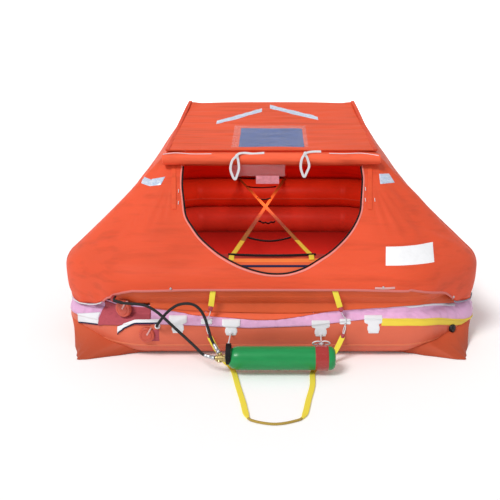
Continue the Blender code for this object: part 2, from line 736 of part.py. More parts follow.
def cord(name, points, radius, spacing, material):
    """A cord as a curve with a round bevel and closed ends."""
    route = smooth_route(points, spacing)
    curve = bpy.data.curves.new(name, "CURVE")
    curve.dimensions = "3D"
    curve.bevel_depth = radius
    curve.bevel_resolution = 2
    curve.use_fill_caps = True
    spline = curve.splines.new("POLY")
    spline.points.add(len(route) - 1)
    for point, place in zip(spline.points, route):
        point.co = (place.x, place.y, place.z, 1)
    obj = bpy.data.objects.new(name, curve)
    bpy.context.collection.objects.link(obj)
    curve.materials.append(finish(material))
    return obj


# Each route runs from where the cord leaves the raft to where it comes back
HOSE_LONG = [
    (-0.5650, -1.2624, 0.2352), (-0.535, -1.270, 0.235), (-0.503, -1.276, 0.235), (-0.472, -1.281, 0.230),
    (-0.440, -1.286, 0.214), (-0.404, -1.295, 0.187), (-0.362, -1.310, 0.152), (-0.323, -1.327, 0.122),
    (-0.284, -1.350, 0.094), (-0.248, -1.376, 0.071), (-0.2082, -1.385, 0.063),
]
HOSE_SHORT = [
    (-0.440, -1.2484, 0.1374), (-0.438, -1.259, 0.143), (-0.431, -1.270, 0.156), (-0.417, -1.279, 0.176),
    (-0.399, -1.284, 0.199), (-0.375, -1.286, 0.221), (-0.350, -1.288, 0.236), (-0.319, -1.290, 0.242),
    (-0.290, -1.292, 0.237), (-0.266, -1.296, 0.218), (-0.249, -1.304, 0.188), (-0.237, -1.318, 0.155),
    (-0.222, -1.341, 0.117), (-0.192, -1.3727, 0.0753),
]
LADDER = [
    (-0.251, -1.2368, 0.1360), (-0.251, -1.2398, 0.1286), (-0.246, -1.2475, 0.112), (-0.228, -1.262, 0.080),
    (-0.205, -1.278, 0.045),
    (-0.181, -1.292, 0.014), (-0.158, -1.318, 0.0046), (-0.140, -1.375, 0.0040), (-0.118, -1.50, 0.0040),
    (-0.096, -1.62, 0.0040), (-0.078, -1.725, 0.0040), (-0.052, -1.757, 0.0040), (0.010, -1.775, 0.0040),
    (0.070, -1.757, 0.0040), (0.104, -1.722, 0.0040), (0.126, -1.60, 0.0040), (0.145, -1.49, 0.0040),
    (0.154, -1.375, 0.0040), (0.184, -1.318, 0.0046), (0.216, -1.292, 0.014), (0.243, -1.278, 0.045),
    (0.264, -1.262, 0.080), (0.280, -1.2475, 0.112), (0.285, -1.2398, 0.1286), (0.285, -1.2368, 0.1360),
]


def build_cords():
    """Two gas hoses, and the ladder's webbing loop on the ground."""
    cord("hose_long", HOSE_LONG, HOSE_R, 0.025, "black_rubber")
    cord("hose_short", HOSE_SHORT, HOSE_R, 0.025, "black_rubber")
    cord("boarding_ladder", LADDER, WEB_R, 0.035, "yellow_webbing")


def flat_strap(name, start, end, width, thickness, material):
    """A straight strap between two points, flat side up."""
    start, end = Vector(start), Vector(end)
    ahead = (end - start).normalized()
    side = ahead.cross(Vector((0, 0, 1))).normalized() * width / 2
    up = side.cross(ahead).normalized() * thickness
    vertices = [p + s + h for p in (start, end) for s in (-side, side) for h in (Vector(), up)]
    faces = [(0, 1, 3, 2), (4, 6, 7, 5), (0, 4, 5, 1), (2, 3, 7, 6), (0, 2, 6, 4), (1, 5, 7, 3)]
    return new_object(name, vertices, faces, material, smooth=False)


def build_inner_straps():
    """Two taut yellow straps that cross over the floor from the front tube to the rear one."""
    seat = HULL_TOP + GAP
    reach = HULL_LENGTH / 2 - TUBE_R
    flat_strap("inner_strap_low", (-0.150, -reach, seat), (0.095, reach, seat), STRAP_WIDTH, STRAP_THICK,
               "yellow_webbing")
    flat_strap("inner_strap_high", (0.150, -reach, seat + STRAP_THICK + GAP),
               (-0.235, reach, seat + STRAP_THICK + GAP), STRAP_WIDTH, STRAP_THICK, "yellow_webbing")


def ladder_tabs():
    """Short yellow tabs on the upper tube, above the ladder's patches."""
    for label, x in LADDER_TAB_X.items():
        hugging_patch("ladder_tab_" + label, edge_position(FRONT, x),
                      [(-12.5, 0.011), (-28.0, 0.011)], PATCH_THICK, UPPER_Z, "yellow_webbing")


def build_roof_fittings():
    """The rolled door under the front of the roof, and the number panel on it."""
    ends = [(-ROLL_HALF, ROLL_Y, ROLL_Z), (ROLL_HALF, ROLL_Y, ROLL_Z)]
    swept_tube("door_roll", ends, ROLL_R, 14, "red_cloth")
    slope = (ROOF_MAIN_Z - ROOF_FRONT_Z) / (MAIN_ARCH_Y + 0.02 - FRONT_ARCH_Y + 0.02)
    vertices = []
    for rise in (GAP, 0.002):
        for y in (-0.745, -0.48):
            z = ROOF_FRONT_Z + slope * (y - FRONT_ARCH_Y + 0.02) + rise + 0.0004
            vertices += [(-0.137, y, z), (0.137, y, z)]
    faces = [(0, 2, 3, 1), (4, 5, 7, 6), (0, 1, 5, 4), (2, 6, 7, 3), (0, 4, 6, 2), (1, 3, 7, 5)]
    new_object("number_panel", vertices, faces, "blue_panel", smooth=False)


def main():
    """Build the raft from the ground up."""
    clear_scene()
    build_hull()
    build_arches()
    build_canopy()
    build_roof_fittings()
    line_patches()
    yellow_belt()
    ladder_tabs()
    build_bottle()
    build_valves()
    build_cords()
    build_inner_straps()


main()
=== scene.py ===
"""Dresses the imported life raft: cloth canopy, coated tubes, fittings, gas bottle, hoses and ladder."""
from __future__ import annotations

import json
import logging
import math
from dataclasses import dataclass, field
from enum import IntEnum
from typing import Any, Callable, Sequence

import bpy
import numpy as np
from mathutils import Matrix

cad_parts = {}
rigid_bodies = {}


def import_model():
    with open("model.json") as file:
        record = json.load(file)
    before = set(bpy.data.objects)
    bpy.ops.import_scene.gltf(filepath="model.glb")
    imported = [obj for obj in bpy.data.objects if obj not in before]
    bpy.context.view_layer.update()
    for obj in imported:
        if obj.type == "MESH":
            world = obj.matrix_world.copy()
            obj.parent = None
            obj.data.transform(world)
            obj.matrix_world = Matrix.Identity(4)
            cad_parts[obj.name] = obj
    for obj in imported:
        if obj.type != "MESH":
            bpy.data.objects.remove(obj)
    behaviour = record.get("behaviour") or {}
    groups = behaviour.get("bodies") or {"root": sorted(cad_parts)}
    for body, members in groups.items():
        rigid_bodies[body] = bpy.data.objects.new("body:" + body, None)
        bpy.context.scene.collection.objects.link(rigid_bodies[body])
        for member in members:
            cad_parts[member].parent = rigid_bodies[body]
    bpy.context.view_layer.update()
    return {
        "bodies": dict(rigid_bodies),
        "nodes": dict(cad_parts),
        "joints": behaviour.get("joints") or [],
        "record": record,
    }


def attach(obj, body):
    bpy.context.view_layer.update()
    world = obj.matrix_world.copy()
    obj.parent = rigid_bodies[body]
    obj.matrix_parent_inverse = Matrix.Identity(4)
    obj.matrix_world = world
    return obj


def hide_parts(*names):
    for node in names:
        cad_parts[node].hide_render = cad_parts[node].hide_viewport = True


LOG = logging.getLogger("life_raft")
Array = np.ndarray
Object = bpy.types.Object


# Numbers and curves


def unit(vectors: Array) -> Array:
    """Vectors scaled to length one along the last axis."""
    return vectors / np.maximum(np.linalg.norm(vectors, axis=-1, keepdims=True), 1e-12)


def ease(low: float, high: float, x: Array) -> Array:
    """Smooth step from 0 at low to 1 at high: 3t squared less 2t cubed."""
    t = np.clip((np.asarray(x, float) - low) / (high - low), 0.0, 1.0)
    return t * t * (3 - 2 * t)


def bell(x: Array, centre: float, width: float) -> Array:
    """Bell curve of height one: e to the minus ((x - centre) / width) squared."""
    return np.exp(-(((np.asarray(x, float) - centre) / width) ** 2))


def ripple(x: Array, z: Array, length: float, seed: int, waves: int = 6) -> Array:
    """Sum of sine waves of mixed directions and lengths near length, between about -1 and 1.

    Args:
        x: First coordinate of the points.
        z: Their second coordinate.
        length: Usual length of a wave.
        seed: Picks directions, lengths and phases.
        waves: How many are summed.

    Returns:
        The sum at each point.
    """
    rng = np.random.default_rng(seed)
    total = np.zeros(np.broadcast(x, z).shape)
    for angle, scale, phase in zip(rng.uniform(0, math.pi, waves), rng.uniform(0.7, 1.5, waves),
                                   rng.uniform(0, 2 * math.pi, waves)):
        total += np.sin(2 * math.pi * (x * math.cos(angle) + z * math.sin(angle)) / (length * scale) + phase)
    return total / math.sqrt(waves)


def coordinates(*parts: Any) -> Array:
    """Coordinates side by side along a new last axis, each spread to the shape of all first."""
    return np.stack(np.broadcast_arrays(*parts), axis=-1)


def steps(path: Array) -> Array:
    """Lengths of the steps from each point of a path to the next."""
    return np.linalg.norm(np.diff(path, axis=0), axis=1)


def run_along(path: Array) -> Array:
    """Running length at each point of a path, from 0."""
    return np.concatenate([[0.0], np.cumsum(steps(path))])


def even_spacing(points: Array, spacing: float) -> Array:
    """Points at even steps of about spacing along a polyline, by its running length.

    Args:
        points: The polyline.
        spacing: Step that is aimed at, in metres.

    Returns:
        Its points, with the first and the last kept.
    """
    run = run_along(points)
    count = max(int(round(run[-1] / spacing)), 2) + 1
    at = np.linspace(0.0, run[-1], count)
    return np.stack([np.interp(at, run, points[:, k]) for k in range(points.shape[1])], axis=1)


def smooth_route(points: Sequence[Sequence[float]], spacing: float) -> Array:
    """Catmull-Rom curve through the points, resampled at even steps.

    Each stretch is the cubic whose slope at a point is half the step between its two neighbours.

    Args:
        points: The points that the curve passes through.
        spacing: Step between the returned points, in metres.

    Returns:
        An array of points, one row each.
    """
    p = np.asarray(points, float)
    p = np.vstack([2 * p[0] - p[1], p, 2 * p[-1] - p[-2]])
    a, b, c, d = p[:-3], p[1:-2], p[2:-1], p[3:]
    t = np.linspace(0, 1, 24, endpoint=False)[:, None, None]
    curve = 0.5 * (2 * b + (c - a) * t + (2 * a - 5 * b + 4 * c - d) * t ** 2
                   + (3 * b - a - 3 * c + d) * t ** 3)
    dense = np.vstack([curve.transpose(1, 0, 2).reshape(-1, p.shape[1]), p[-2]])
    return even_spacing(dense, spacing)


def circle(radius: float, sides: int) -> Array:
    """Points round a circle."""
    a = np.arange(sides) * 2 * math.pi / sides
    return coordinates(radius * np.cos(a), radius * np.sin(a))


def rounded_strip(width: float, thickness: float) -> Array:
    """Section of a flat strip: a superellipse of power five, so its edges are round.

    Args:
        width: Across.
        thickness: Upward.

    Returns:
        Points round the section.
    """
    a = np.arange(20) * 2 * math.pi / 20

    def side(v: Array) -> Array:
        """Two fifths' power that keeps the sign."""
        return np.sign(v) * np.abs(v) ** 0.4

    return coordinates(width / 2 * side(np.cos(a)), thickness / 2 * side(np.sin(a)))


# Surfaces


@dataclass
class Surface:
    """Points with quads and triangles over them, and texture coordinates in metres."""

    points: Array
    faces: list[Array]
    uvs: list[Array]

    def volume(self) -> float:
        """Signed volume under the faces, each split into triangles that meet at its first corner."""
        total = 0.0
        for face in self.faces:
            p = self.points[face]
            for k in range(1, face.shape[1] - 1):
                total += np.einsum("ij,ij->i", p[:, 0], np.cross(p[:, k], p[:, k + 1])).sum() / 6
        return float(total)

    def flipped(self) -> Surface:
        """The same surface, facing the other way."""
        return Surface(self.points, [f[:, ::-1] for f in self.faces], [u[:, ::-1] for u in self.uvs])

    def outward(self) -> Surface:
        """A closed surface that faces outwards."""
        return self.flipped() if self.volume() < 0 else self


def running(points: Array, axis: int) -> Array:
    """Mean running length along one direction of a grid, with the closing step as its last value."""
    gaps = np.linalg.norm(np.roll(points, -1, axis=axis) - points, axis=-1).mean(axis=1 - axis)
    return np.concatenate([[0.0], np.cumsum(gaps)])


def grid(points: Array, wrap_rows: bool = False, wrap_columns: bool = False, caps: bool = False) -> Surface:
    """Quads over a grid of points.

    Args:
        points: Array of rows by columns by three.
        wrap_rows: Joins the last row to the first.
        wrap_columns: Joins the last column to the first.
        caps: Closes the first and last row with a fan of triangles round their middle.

    Returns:
        The surface. Its texture coordinates are running lengths in metres.
    """
    rows, columns = points.shape[:2]
    i = np.arange(rows if wrap_rows else rows - 1)[:, None]
    j = np.arange(columns if wrap_columns else columns - 1)[None, :]
    u, v = running(points, 0), running(points, 1)
    corners, places = [], []
    for di, dj in ((0, 0), (1, 0), (1, 1), (0, 1)):
        corners.append(((i + di) % rows) * columns + (j + dj) % columns)
        places.append(coordinates(u[i + di], v[j + dj]))
    faces = [np.stack(corners, axis=-1).reshape(-1, 4)]
    uvs = [np.stack(places, axis=-2).reshape(-1, 4, 2)]
    flat = points.reshape(-1, 3)
    if caps:
        middle = rows * columns
        flat = np.vstack([flat, points[0].mean(axis=0), points[-1].mean(axis=0)])
        a, b = np.arange(columns), (np.arange(columns) + 1) % columns
        first = np.stack([a, b, np.full(columns, middle)], axis=1)
        last = np.stack([b, a, np.full(columns, middle + 1 - (rows - 1) * columns)], axis=1)
        faces.append(np.vstack([first, last + (rows - 1) * columns]))
        turn = 2 * math.pi * np.arange(columns) / columns
        rim = coordinates(np.cos(turn), np.sin(turn)) * v[-1] / (2 * math.pi)
        fan = np.stack([rim, np.roll(rim, -1, axis=0), np.zeros_like(rim)], axis=1)
        uvs.append(np.vstack([fan, fan]))
    return Surface(flat, faces, uvs)


def frames(path: Array, hint: Array) -> tuple[Array, Array]:
    """Sideways and upward directions along a path: across the run and the hint, and square to both."""
    ahead = unit(np.gradient(path, axis=0))
    across = unit(np.cross(ahead, np.broadcast_to(hint, path.shape)))
    return across, np.cross(across, ahead)


def sweep(path: Array, section: Array, hint: Sequence[float] = (0, 0, 1), scale: Array | None = None,
          closed: bool = False) -> Surface:
    """Carries a closed section along a path.

    Each point is the path's point plus the section's two numbers times the sideways and upward directions.

    Args:
        path: Points that the section's middle follows.
        section: Points of the section, sideways and upward.
        hint: A direction, or one for each path point, that is upward and never along the path.
        scale: Factor on the section for each path point.
        closed: Joins the path's end to its start.

    Returns:
        A closed surface that faces outwards.
    """
    hint = np.asarray(hint, float)
    if closed:
        padded = np.vstack([path[-2:], path, path[:2]])
        wide = hint if hint.ndim == 1 else np.vstack([hint[-2:], hint, hint[:2]])
        across, up = (v[2:-2] for v in frames(padded, wide))
    else:
        across, up = frames(path, hint)
    size = np.ones(len(path)) if scale is None else scale
    shaped = section[None] * size[:, None, None]
    points = path[:, None] + across[:, None] * shaped[..., :1] + up[:, None] * shaped[..., 1:]
    return grid(points, wrap_rows=closed, wrap_columns=True, caps=not closed).outward()


def turned(profile: Sequence[Sequence[float]], origin: Sequence[float], axis: Sequence[float],
           sides: int = 40, lobes: int = 0, lobe_depth: float = 0.0) -> Surface:
    """A solid of revolution about an axis through origin.

    Each point is the origin plus its distance along the axis plus its radius times a turning direction.
    With lobes, the radius swells by lobe_depth that many times round, where the profile asks for it.

    Args:
        profile: (distance, radius) or (distance, radius, share of lobes) from one end to the other.
        origin: Where distance is 0.
        axis: Direction of distance.
        sides: Points round.
        lobes: Number of scallops.
        lobe_depth: Their depth in metres.

    Returns:
        A closed surface that faces outwards.
    """
    shape = np.array([tuple(p) + (0.0,) * (3 - len(p)) for p in profile], float)
    axis_dir = unit(np.asarray(axis, float))
    helper = np.array([0.0, 0.0, 1.0]) if abs(axis_dir[2]) < 0.9 else np.array([1.0, 0.0, 0.0])
    side = unit(np.cross(axis_dir, helper))
    other = np.cross(axis_dir, side)
    a = np.arange(sides) * 2 * math.pi / sides
    swell = lobe_depth * (np.abs(np.sin(lobes * a / 2)) - 0.5) if lobes else np.zeros(sides)
    radius = shape[:, 1:2] + shape[:, 2:3] * swell[None]
    round_dir = np.cos(a)[:, None] * side + np.sin(a)[:, None] * other
    points = (np.asarray(origin, float) + shape[:, None, :1] * axis_dir + radius[..., None] * round_dir[None])
    return grid(points, wrap_columns=True, caps=True).outward()


def slab(top: Array, bottom: Array) -> Surface:
    """A closed shell between two grids of the same size, top facing outwards, with its border walled in.

    Args:
        top: Points of its face, rows by columns by three.
        bottom: Points of its back.

    Returns:
        The shell.
    """
    rows, columns = top.shape[:2]
    upper, lower = grid(top), grid(bottom).flipped()
    size = rows * columns
    ring = np.concatenate([np.arange(columns), columns * np.arange(1, rows) + columns - 1,
                           (rows - 1) * columns + np.arange(columns - 2, -1, -1),
                           columns * np.arange(rows - 2, 0, -1)])
    after = np.roll(ring, -1)
    wall = np.stack([ring, after, after + size, ring + size], axis=1)
    points = np.vstack([upper.points, lower.points])
    edge = np.zeros((len(wall), 4, 2))
    return Surface(points, [upper.faces[0], lower.faces[0] + size, wall],
                   [upper.uvs[0], lower.uvs[0], edge]).outward()


def joined(surfaces: Sequence[Surface]) -> Surface:
    """Several surfaces as one: each one's point numbers follow the last one's."""
    faces, uvs, used = [], [], 0
    for surface in surfaces:
        faces += [face + used for face in surface.faces]
        uvs += surface.uvs
        used += len(surface.points)
    return Surface(np.vstack([s.points for s in surfaces]), faces, uvs)


def stitches(path: Array, outward: Array, pitch: float = 0.006, radius: float = 0.0005,
             fill: float = 0.62) -> Surface:
    """A row of stitches along a path: one small spindle for each pitch, all worked out at once.

    A spindle's point is its middle, plus its half length along the run times one share, plus its radius
    across and outward times two others.

    Args:
        path: Line of the row.
        outward: Direction off the cloth, one or one for each path point.
        pitch: Step from stitch to stitch.
        radius: Of the thread.
        fill: Share of the pitch that a stitch covers.

    Returns:
        The row as one surface.
    """
    both = np.hstack([path, np.broadcast_to(np.asarray(outward, float), path.shape)])
    run = run_along(path)
    count = max(int(run[-1] / pitch), 1)
    at = (np.arange(count) + 0.5) * run[-1] / count
    both = np.stack([np.interp(at, run, both[:, k]) for k in range(6)], axis=1)
    ahead = unit(np.stack([np.gradient(np.interp(at, run, path[:, k])) for k in range(3)], axis=1)
                 if count > 1 else (path[-1:] - path[:1]))
    off = unit(both[:, 3:])
    side = unit(np.cross(ahead, off))
    ring = np.array([(-1.0, 0.25), (-0.5, 1.0), (0.5, 1.0), (1.0, 0.25)])
    turn = np.arange(6) * math.pi / 3
    x = np.repeat(ring[:, 0], 6) * pitch * fill / 2
    y = (ring[:, 1:] * np.cos(turn)).ravel() * radius
    z = (ring[:, 1:] * np.sin(turn)).ravel() * radius
    points = (both[:, None, :3] + ahead[:, None] * x[None, :, None] + side[:, None] * y[None, :, None]
              + off[:, None] * z[None, :, None])
    i, j = np.arange(3)[:, None], np.arange(6)[None, :]
    k = (j + 1) % 6
    quads = np.stack([i * 6 + j, (i + 1) * 6 + j, (i + 1) * 6 + k, i * 6 + k], axis=-1).reshape(-1, 4)
    ends = np.array([[0, 1, 2, 3], [0, 3, 4, 5], [21, 20, 19, 18], [23, 22, 21, 18]])
    quads = np.vstack([quads, ends])
    faces = (quads[None] + 24 * np.arange(count)[:, None, None]).reshape(-1, 4)
    shell = Surface(points.reshape(-1, 3), [faces], [np.zeros((len(faces), 4, 2))])
    return shell.outward()


def knot(centre: Sequence[float], size: float, seed: int,
         stretch: Sequence[float] = (1.0, 1.0, 1.0)) -> Surface:
    """A tied knot: a ball whose radius swells in three twisted strands.

    The radius is size times 0.86 plus 0.28 of the absolute sine of 1.5 turns plus 2.2 tilts.

    Args:
        centre: Its middle.
        size: Its mean radius.
        seed: Turns the strands.
        stretch: Factors on X, Y and Z.

    Returns:
        A closed surface.
    """
    tilt = np.linspace(0.08, math.pi - 0.08, 17)[:, None]
    turn = np.arange(28)[None] * 2 * math.pi / 28
    radius = size * (0.86 + 0.28 * np.abs(np.sin(1.5 * turn + 2.2 * tilt + seed)))
    ball = coordinates(radius * np.sin(tilt) * np.cos(turn), radius * np.sin(tilt) * np.sin(turn),
                       radius * np.cos(tilt))
    return grid(ball * np.asarray(stretch) + np.asarray(centre), wrap_columns=True, caps=True).outward()


# Finishes


class Graph:
    """Node tree of one material, with short calls for its nodes.

    Its two coordinates are the raft's, called raft, and the running lengths over the piece, called own.
    """

    def __init__(self, name: str) -> None:
        """Starts a material of that name with its shader."""
        self.material = bpy.data.materials.new(name)
        self.material.use_nodes = True
        self.tree = self.material.node_tree
        self.shader = self.tree.nodes["Principled BSDF"]
        places = self.add("TexCoord").outputs
        self.raft, self.own = places["Object"], places["UV"]

    def add(self, kind: str, inputs: dict[Any, Any] | None = None, **settings: Any) -> Any:
        """Adds a node.

        Args:
            kind: Its type, without the leading ShaderNode.
            inputs: Values or sockets for its inputs, by name or number.
            **settings: Its own properties.

        Returns:
            The node.
        """
        node = self.tree.nodes.new("ShaderNode" + kind)
        for key, value in settings.items():
            setattr(node, key, value)
        for key, value in (inputs or {}).items():
            self.feed(node.inputs[key], value)
        return node

    def feed(self, socket: Any, value: Any) -> None:
        """Links a socket to an input, or sets its value."""
        if isinstance(value, bpy.types.NodeSocket):
            self.tree.links.new(value, socket)
        else:
            socket.default_value = value

    def set(self, **values: Any) -> None:
        """Sets the shader's inputs, spaces in their names written as underscores."""
        for key, value in values.items():
            self.feed(self.shader.inputs[key.replace("_", " ")], value)

    def blend(self, share: Any, first: Any, second: Any) -> Any:
        """Colour between first and second."""
        return self.add("Mix", {0: share, 6: first, 7: second}, data_type="RGBA").outputs[2]

    def sums(self, how: str, first: Any, second: Any = 0.0) -> Any:
        """Result of one step of arithmetic."""
        return self.add("Math", {0: first, 1: second}, operation=how).outputs[0]

    def stretch(self, low: float, high: float, value: Any, to_low: float = 0.0, to_high: float = 1.0) -> Any:
        """Value moved from one range to another and held there."""
        return self.add("MapRange", {"Value": value, "From Min": low, "From Max": high,
                                     "To Min": to_low, "To Max": to_high}).outputs["Result"]

    def noise(self, scale: float, detail: float = 3.0, rough: float = 0.55,
              squeeze: tuple[float, float, float] | None = None) -> Any:
        """Noise on the raft's coordinates, squeezed first where asked."""
        at = self.add("Mapping", {"Vector": self.raft, "Scale": squeeze}).outputs[0] if squeeze else self.raft
        return self.add("TexNoise", {"Vector": at, "Scale": scale, "Detail": detail,
                                     "Roughness": rough}).outputs["Fac"]

    def wave(self, period: float, direction: str, distortion: float = 0.0) -> Any:
        """Bands of that period in metres across one direction of the piece's own coordinates."""
        return self.add("TexWave", {"Vector": self.own, "Scale": 2 * math.pi / 20 / period,
                                    "Distortion": distortion, "Detail": 0.0}, bands_direction=direction,
                        wave_profile="SIN").outputs["Fac"]

    def weave(self, pitch: float) -> Any:
        """Plain weave: the sum of bands both ways."""
        return self.sums("ADD", self.wave(pitch, "X"), self.wave(pitch, "Y"))

    def bump(self, height: Any, distance: float, strength: float = 1.0, under: Any = None) -> Any:
        """Normal from a height, over the normal of another bump."""
        node = self.add("Bump", {"Height": height, "Distance": distance, "Strength": strength})
        if under is not None:
            self.feed(node.inputs["Normal"], under)
        return node.outputs["Normal"]


@dataclass(frozen=True)
class Finish:
    """What every finish has: a name and its main colour."""

    name: str
    colour: tuple[float, float, float]

    def material(self) -> bpy.types.Material:
        """The material, made at its first use."""
        found = bpy.data.materials.get(self.name)
        if found:
            return found
        graph = Graph(self.name)
        self.paint(graph)
        graph.material.diffuse_color = (*self.colour, 1)
        return graph.material

    def paint(self, graph: Graph) -> None:
        """Fills the graph with this finish's nodes.

        Args:
            graph: The material's nodes.
        """
        raise NotImplementedError

    def rgba(self, share: float = 1.0) -> tuple[float, float, float, float]:
        """The main colour, darkened or lightened by share."""
        return tuple(min(c * share, 1.0) for c in self.colour) + (1.0,)


@dataclass(frozen=True)
class CoatedCloth(Finish):
    """Thin coated cloth under tension: fine plain weave, soft creases, a faint sheen."""

    crease_scale: float = 14.0
    crease_squeeze: tuple[float, float, float] = (0.25, 1.0, 2.4)
    crease_depth: float = 0.0045
    glow: float = 0.0
    rough: float = 0.6
    fade: float = 0.86

    def paint(self, graph: Graph) -> None:
        """Weave on the cloth's own coordinates, creases and fading on the raft's."""
        large = graph.noise(2.2, 2.0)
        fine = graph.noise(self.crease_scale, 4.0, 0.5, self.crease_squeeze)
        share = graph.stretch(0.3, 0.7, large)
        colour = graph.blend(share, self.rgba(self.fade), self.rgba())
        # Colour is multiplied down to 0.82 in the hollows of the creases that the bump draws: painted shade.
        crease_shade = graph.stretch(0.25, 0.5, fine, 0.82, 1.0)
        graph.set(Base_Color=graph.add("Mix", {0: 1.0, 6: colour, 7: crease_shade}, data_type="RGBA",
                                       blend_type="MULTIPLY").outputs[2])
        normal = graph.bump(fine, self.crease_depth, 0.55)
        graph.set(Normal=graph.bump(graph.weave(0.0016), 0.00012, 0.35, normal), Roughness=self.rough,
                  Specular_IOR_Level=0.18)
        if self.glow:
            graph.set(Subsurface_Weight=self.glow, Subsurface_Radius=(1.0, 0.25, 0.1), Subsurface_Scale=0.02)


@dataclass(frozen=True)
class TubeCloth(Finish):
    """Rubber-coated tube cloth: satin, a faint weave under the coat, scuffs and soft unevenness."""

    rough: float = 0.46
    coat: float = 0.05
    unevenness: float = 0.004
    above: float = 1.0

    def paint(self, graph: Graph) -> None:
        """Unevenness and scuffs by the raft's coordinates, and where above is set, cloth paler higher up:
        painted shade darkening it towards the ground; weave by the cloth's coordinates.
        """
        broad = graph.noise(5.0, 3.0)
        scuff = graph.noise(60.0, 4.0, 0.7, (1.0, 1.0, 3.0))
        colour = graph.blend(graph.stretch(0.3, 0.7, broad), self.rgba(0.86), self.rgba(1.04))
        # Where above is set, the colour grows from its own at the ground to above times it 0.085 m up:
        # painted shade near the ground.
        if self.above != 1.0:
            height = graph.add("SeparateXYZ", {"Vector": graph.raft}).outputs["Z"]
            colour = graph.blend(graph.stretch(0.0, 0.085, height), colour, self.rgba(self.above))
        worn = graph.blend(graph.stretch(0.62, 0.8, scuff, 0.0, 0.22), colour, self.rgba(1.3))
        relief = graph.sums("ADD", broad, graph.sums("MULTIPLY", scuff, 0.05))
        normal = graph.bump(relief, self.unevenness, 0.4)
        graph.set(Base_Color=worn,
                  Roughness=graph.stretch(0.3, 0.75, scuff, self.rough - 0.05, self.rough + 0.12),
                  Normal=graph.bump(graph.weave(0.0011), 0.00008, 0.3, normal), Coat_Weight=self.coat,
                  Coat_Roughness=0.3, Specular_IOR_Level=0.3)


@dataclass(frozen=True)
class Webbing(Finish):
    """Woven tape: ribs across, rows along, and soil."""

    rib: float = 0.0018
    row: float = 0.0035
    rough: float = 0.7

    def paint(self, graph: Graph) -> None:
        """Ribs and rows on the tape's own coordinates, along and across in metres."""
        ribs = graph.wave(self.rib, "X", 0.4)
        rows = graph.wave(self.row, "Y")
        height = graph.sums("MULTIPLY", ribs, graph.sums("ADD", rows, 0.35))
        soil = graph.noise(30.0, 4.0, 0.65)
        colour = graph.blend(height, self.rgba(0.72), self.rgba(1.08))
        worn = graph.blend(graph.stretch(0.55, 0.8, soil, 0.0, 0.35), colour, self.rgba(0.6))
        graph.set(Base_Color=worn, Roughness=self.rough, Normal=graph.bump(height, 0.0003, 0.6),
                  Specular_IOR_Level=0.2)


@dataclass(frozen=True)
class GlossPaint(Finish):
    """Gloss paint on metal, with a faint orange peel and small chips of wear."""

    rough: float = 0.28

    def paint(self, graph: Graph) -> None:
        """Peel and scratches on the raft's coordinates."""
        peel = graph.noise(220.0, 2.0)
        streak = graph.noise(45.0, 5.0, 0.7, (0.2, 1.0, 1.0))
        colour = graph.blend(graph.stretch(0.35, 0.7, streak), self.rgba(0.88), self.rgba(1.06))
        graph.set(Base_Color=colour, Roughness=graph.stretch(0.3, 0.8, streak, self.rough, self.rough + 0.12),
                  Normal=graph.bump(peel, 0.0003, 0.12), Coat_Weight=0.12, Coat_Roughness=0.12,
                  Specular_IOR_Level=0.3)


@dataclass(frozen=True)
class Rubber(Finish):
    """Smooth moulded rubber with a cloth-like wrap mark and dust."""

    rough: float = 0.38
    wrap: float = 0.004

    def paint(self, graph: Graph) -> None:
        """Wrap marks along the piece's own length, dust on the raft's coordinates."""
        dust = graph.noise(90.0, 4.0, 0.65)
        marks = graph.wave(self.wrap, "X", 0.6)
        relief = graph.sums("ADD", graph.sums("MULTIPLY", marks, 0.5), dust)
        colour = graph.blend(graph.stretch(0.5, 0.8, dust, 0.0, 0.4), self.rgba(), self.rgba(2.2))
        graph.set(Base_Color=colour, Roughness=graph.stretch(0.3, 0.7, dust, self.rough, self.rough + 0.2),
                  Normal=graph.bump(relief, 0.0004, 0.35), Specular_IOR_Level=0.25)


@dataclass(frozen=True)
class Metal(Finish):
    """Machined metal with fine turning marks and dulled patches."""

    rough: float = 0.3

    def paint(self, graph: Graph) -> None:
        """Turning marks and tarnish on the raft's coordinates."""
        lines = graph.noise(400.0, 2.0, 0.5, (6.0, 0.4, 0.4))
        tarnish = graph.noise(70.0, 4.0, 0.6)
        colour = graph.blend(graph.stretch(0.4, 0.75, tarnish), self.rgba(), self.rgba(0.6))
        graph.set(Base_Color=colour, Metallic=1.0, Normal=graph.bump(lines, 0.0002, 0.25),
                  Roughness=graph.stretch(0.3, 0.7, tarnish, self.rough, self.rough + 0.2))


@dataclass(frozen=True)
class RetroTape(Finish):
    """Retroreflective tape: silver cells in a fine net, slightly crumpled."""

    def paint(self, graph: Graph) -> None:
        """Cells on the tape's own coordinates, crumples on the raft's."""
        cells = graph.add("TexVoronoi", {"Vector": graph.own, "Scale": 260.0},
                          feature="DISTANCE_TO_EDGE").outputs["Distance"]
        crumple = graph.noise(55.0, 3.0, 0.6, (1.0, 1.0, 2.0))
        net = graph.stretch(0.02, 0.09, cells)
        colour = graph.blend(net, self.rgba(0.72), self.rgba())
        # On the crumples' crests the colour goes up to 70 percent of the way to near white: painted
        # highlight.
        pale = graph.blend(graph.stretch(0.45, 0.7, crumple, 0.0, 0.7), colour, (0.9, 0.92, 0.96, 1))
        graph.set(Base_Color=pale, Metallic=0.25, Roughness=0.34, Normal=graph.bump(crumple, 0.003, 0.5),
                  Specular_IOR_Level=0.7)


@dataclass(frozen=True)
class Plate(Finish):
    """A blank glued plate under a shiny clear skin, mottled and a little crumpled."""

    mottle: float = 2.6

    def paint(self, graph: Graph) -> None:
        """Mottling and crumples on the raft's coordinates."""
        spots = graph.noise(45.0, 5.0, 0.7)
        folds = graph.noise(18.0, 3.0, 0.5)
        colour = graph.blend(graph.stretch(0.45, 0.75, spots), self.rgba(), self.rgba(self.mottle))
        graph.set(Base_Color=colour, Roughness=0.45, Normal=graph.bump(folds, 0.004, 0.4),
                  Coat_Weight=0.08, Coat_Roughness=0.2, Specular_IOR_Level=0.15)


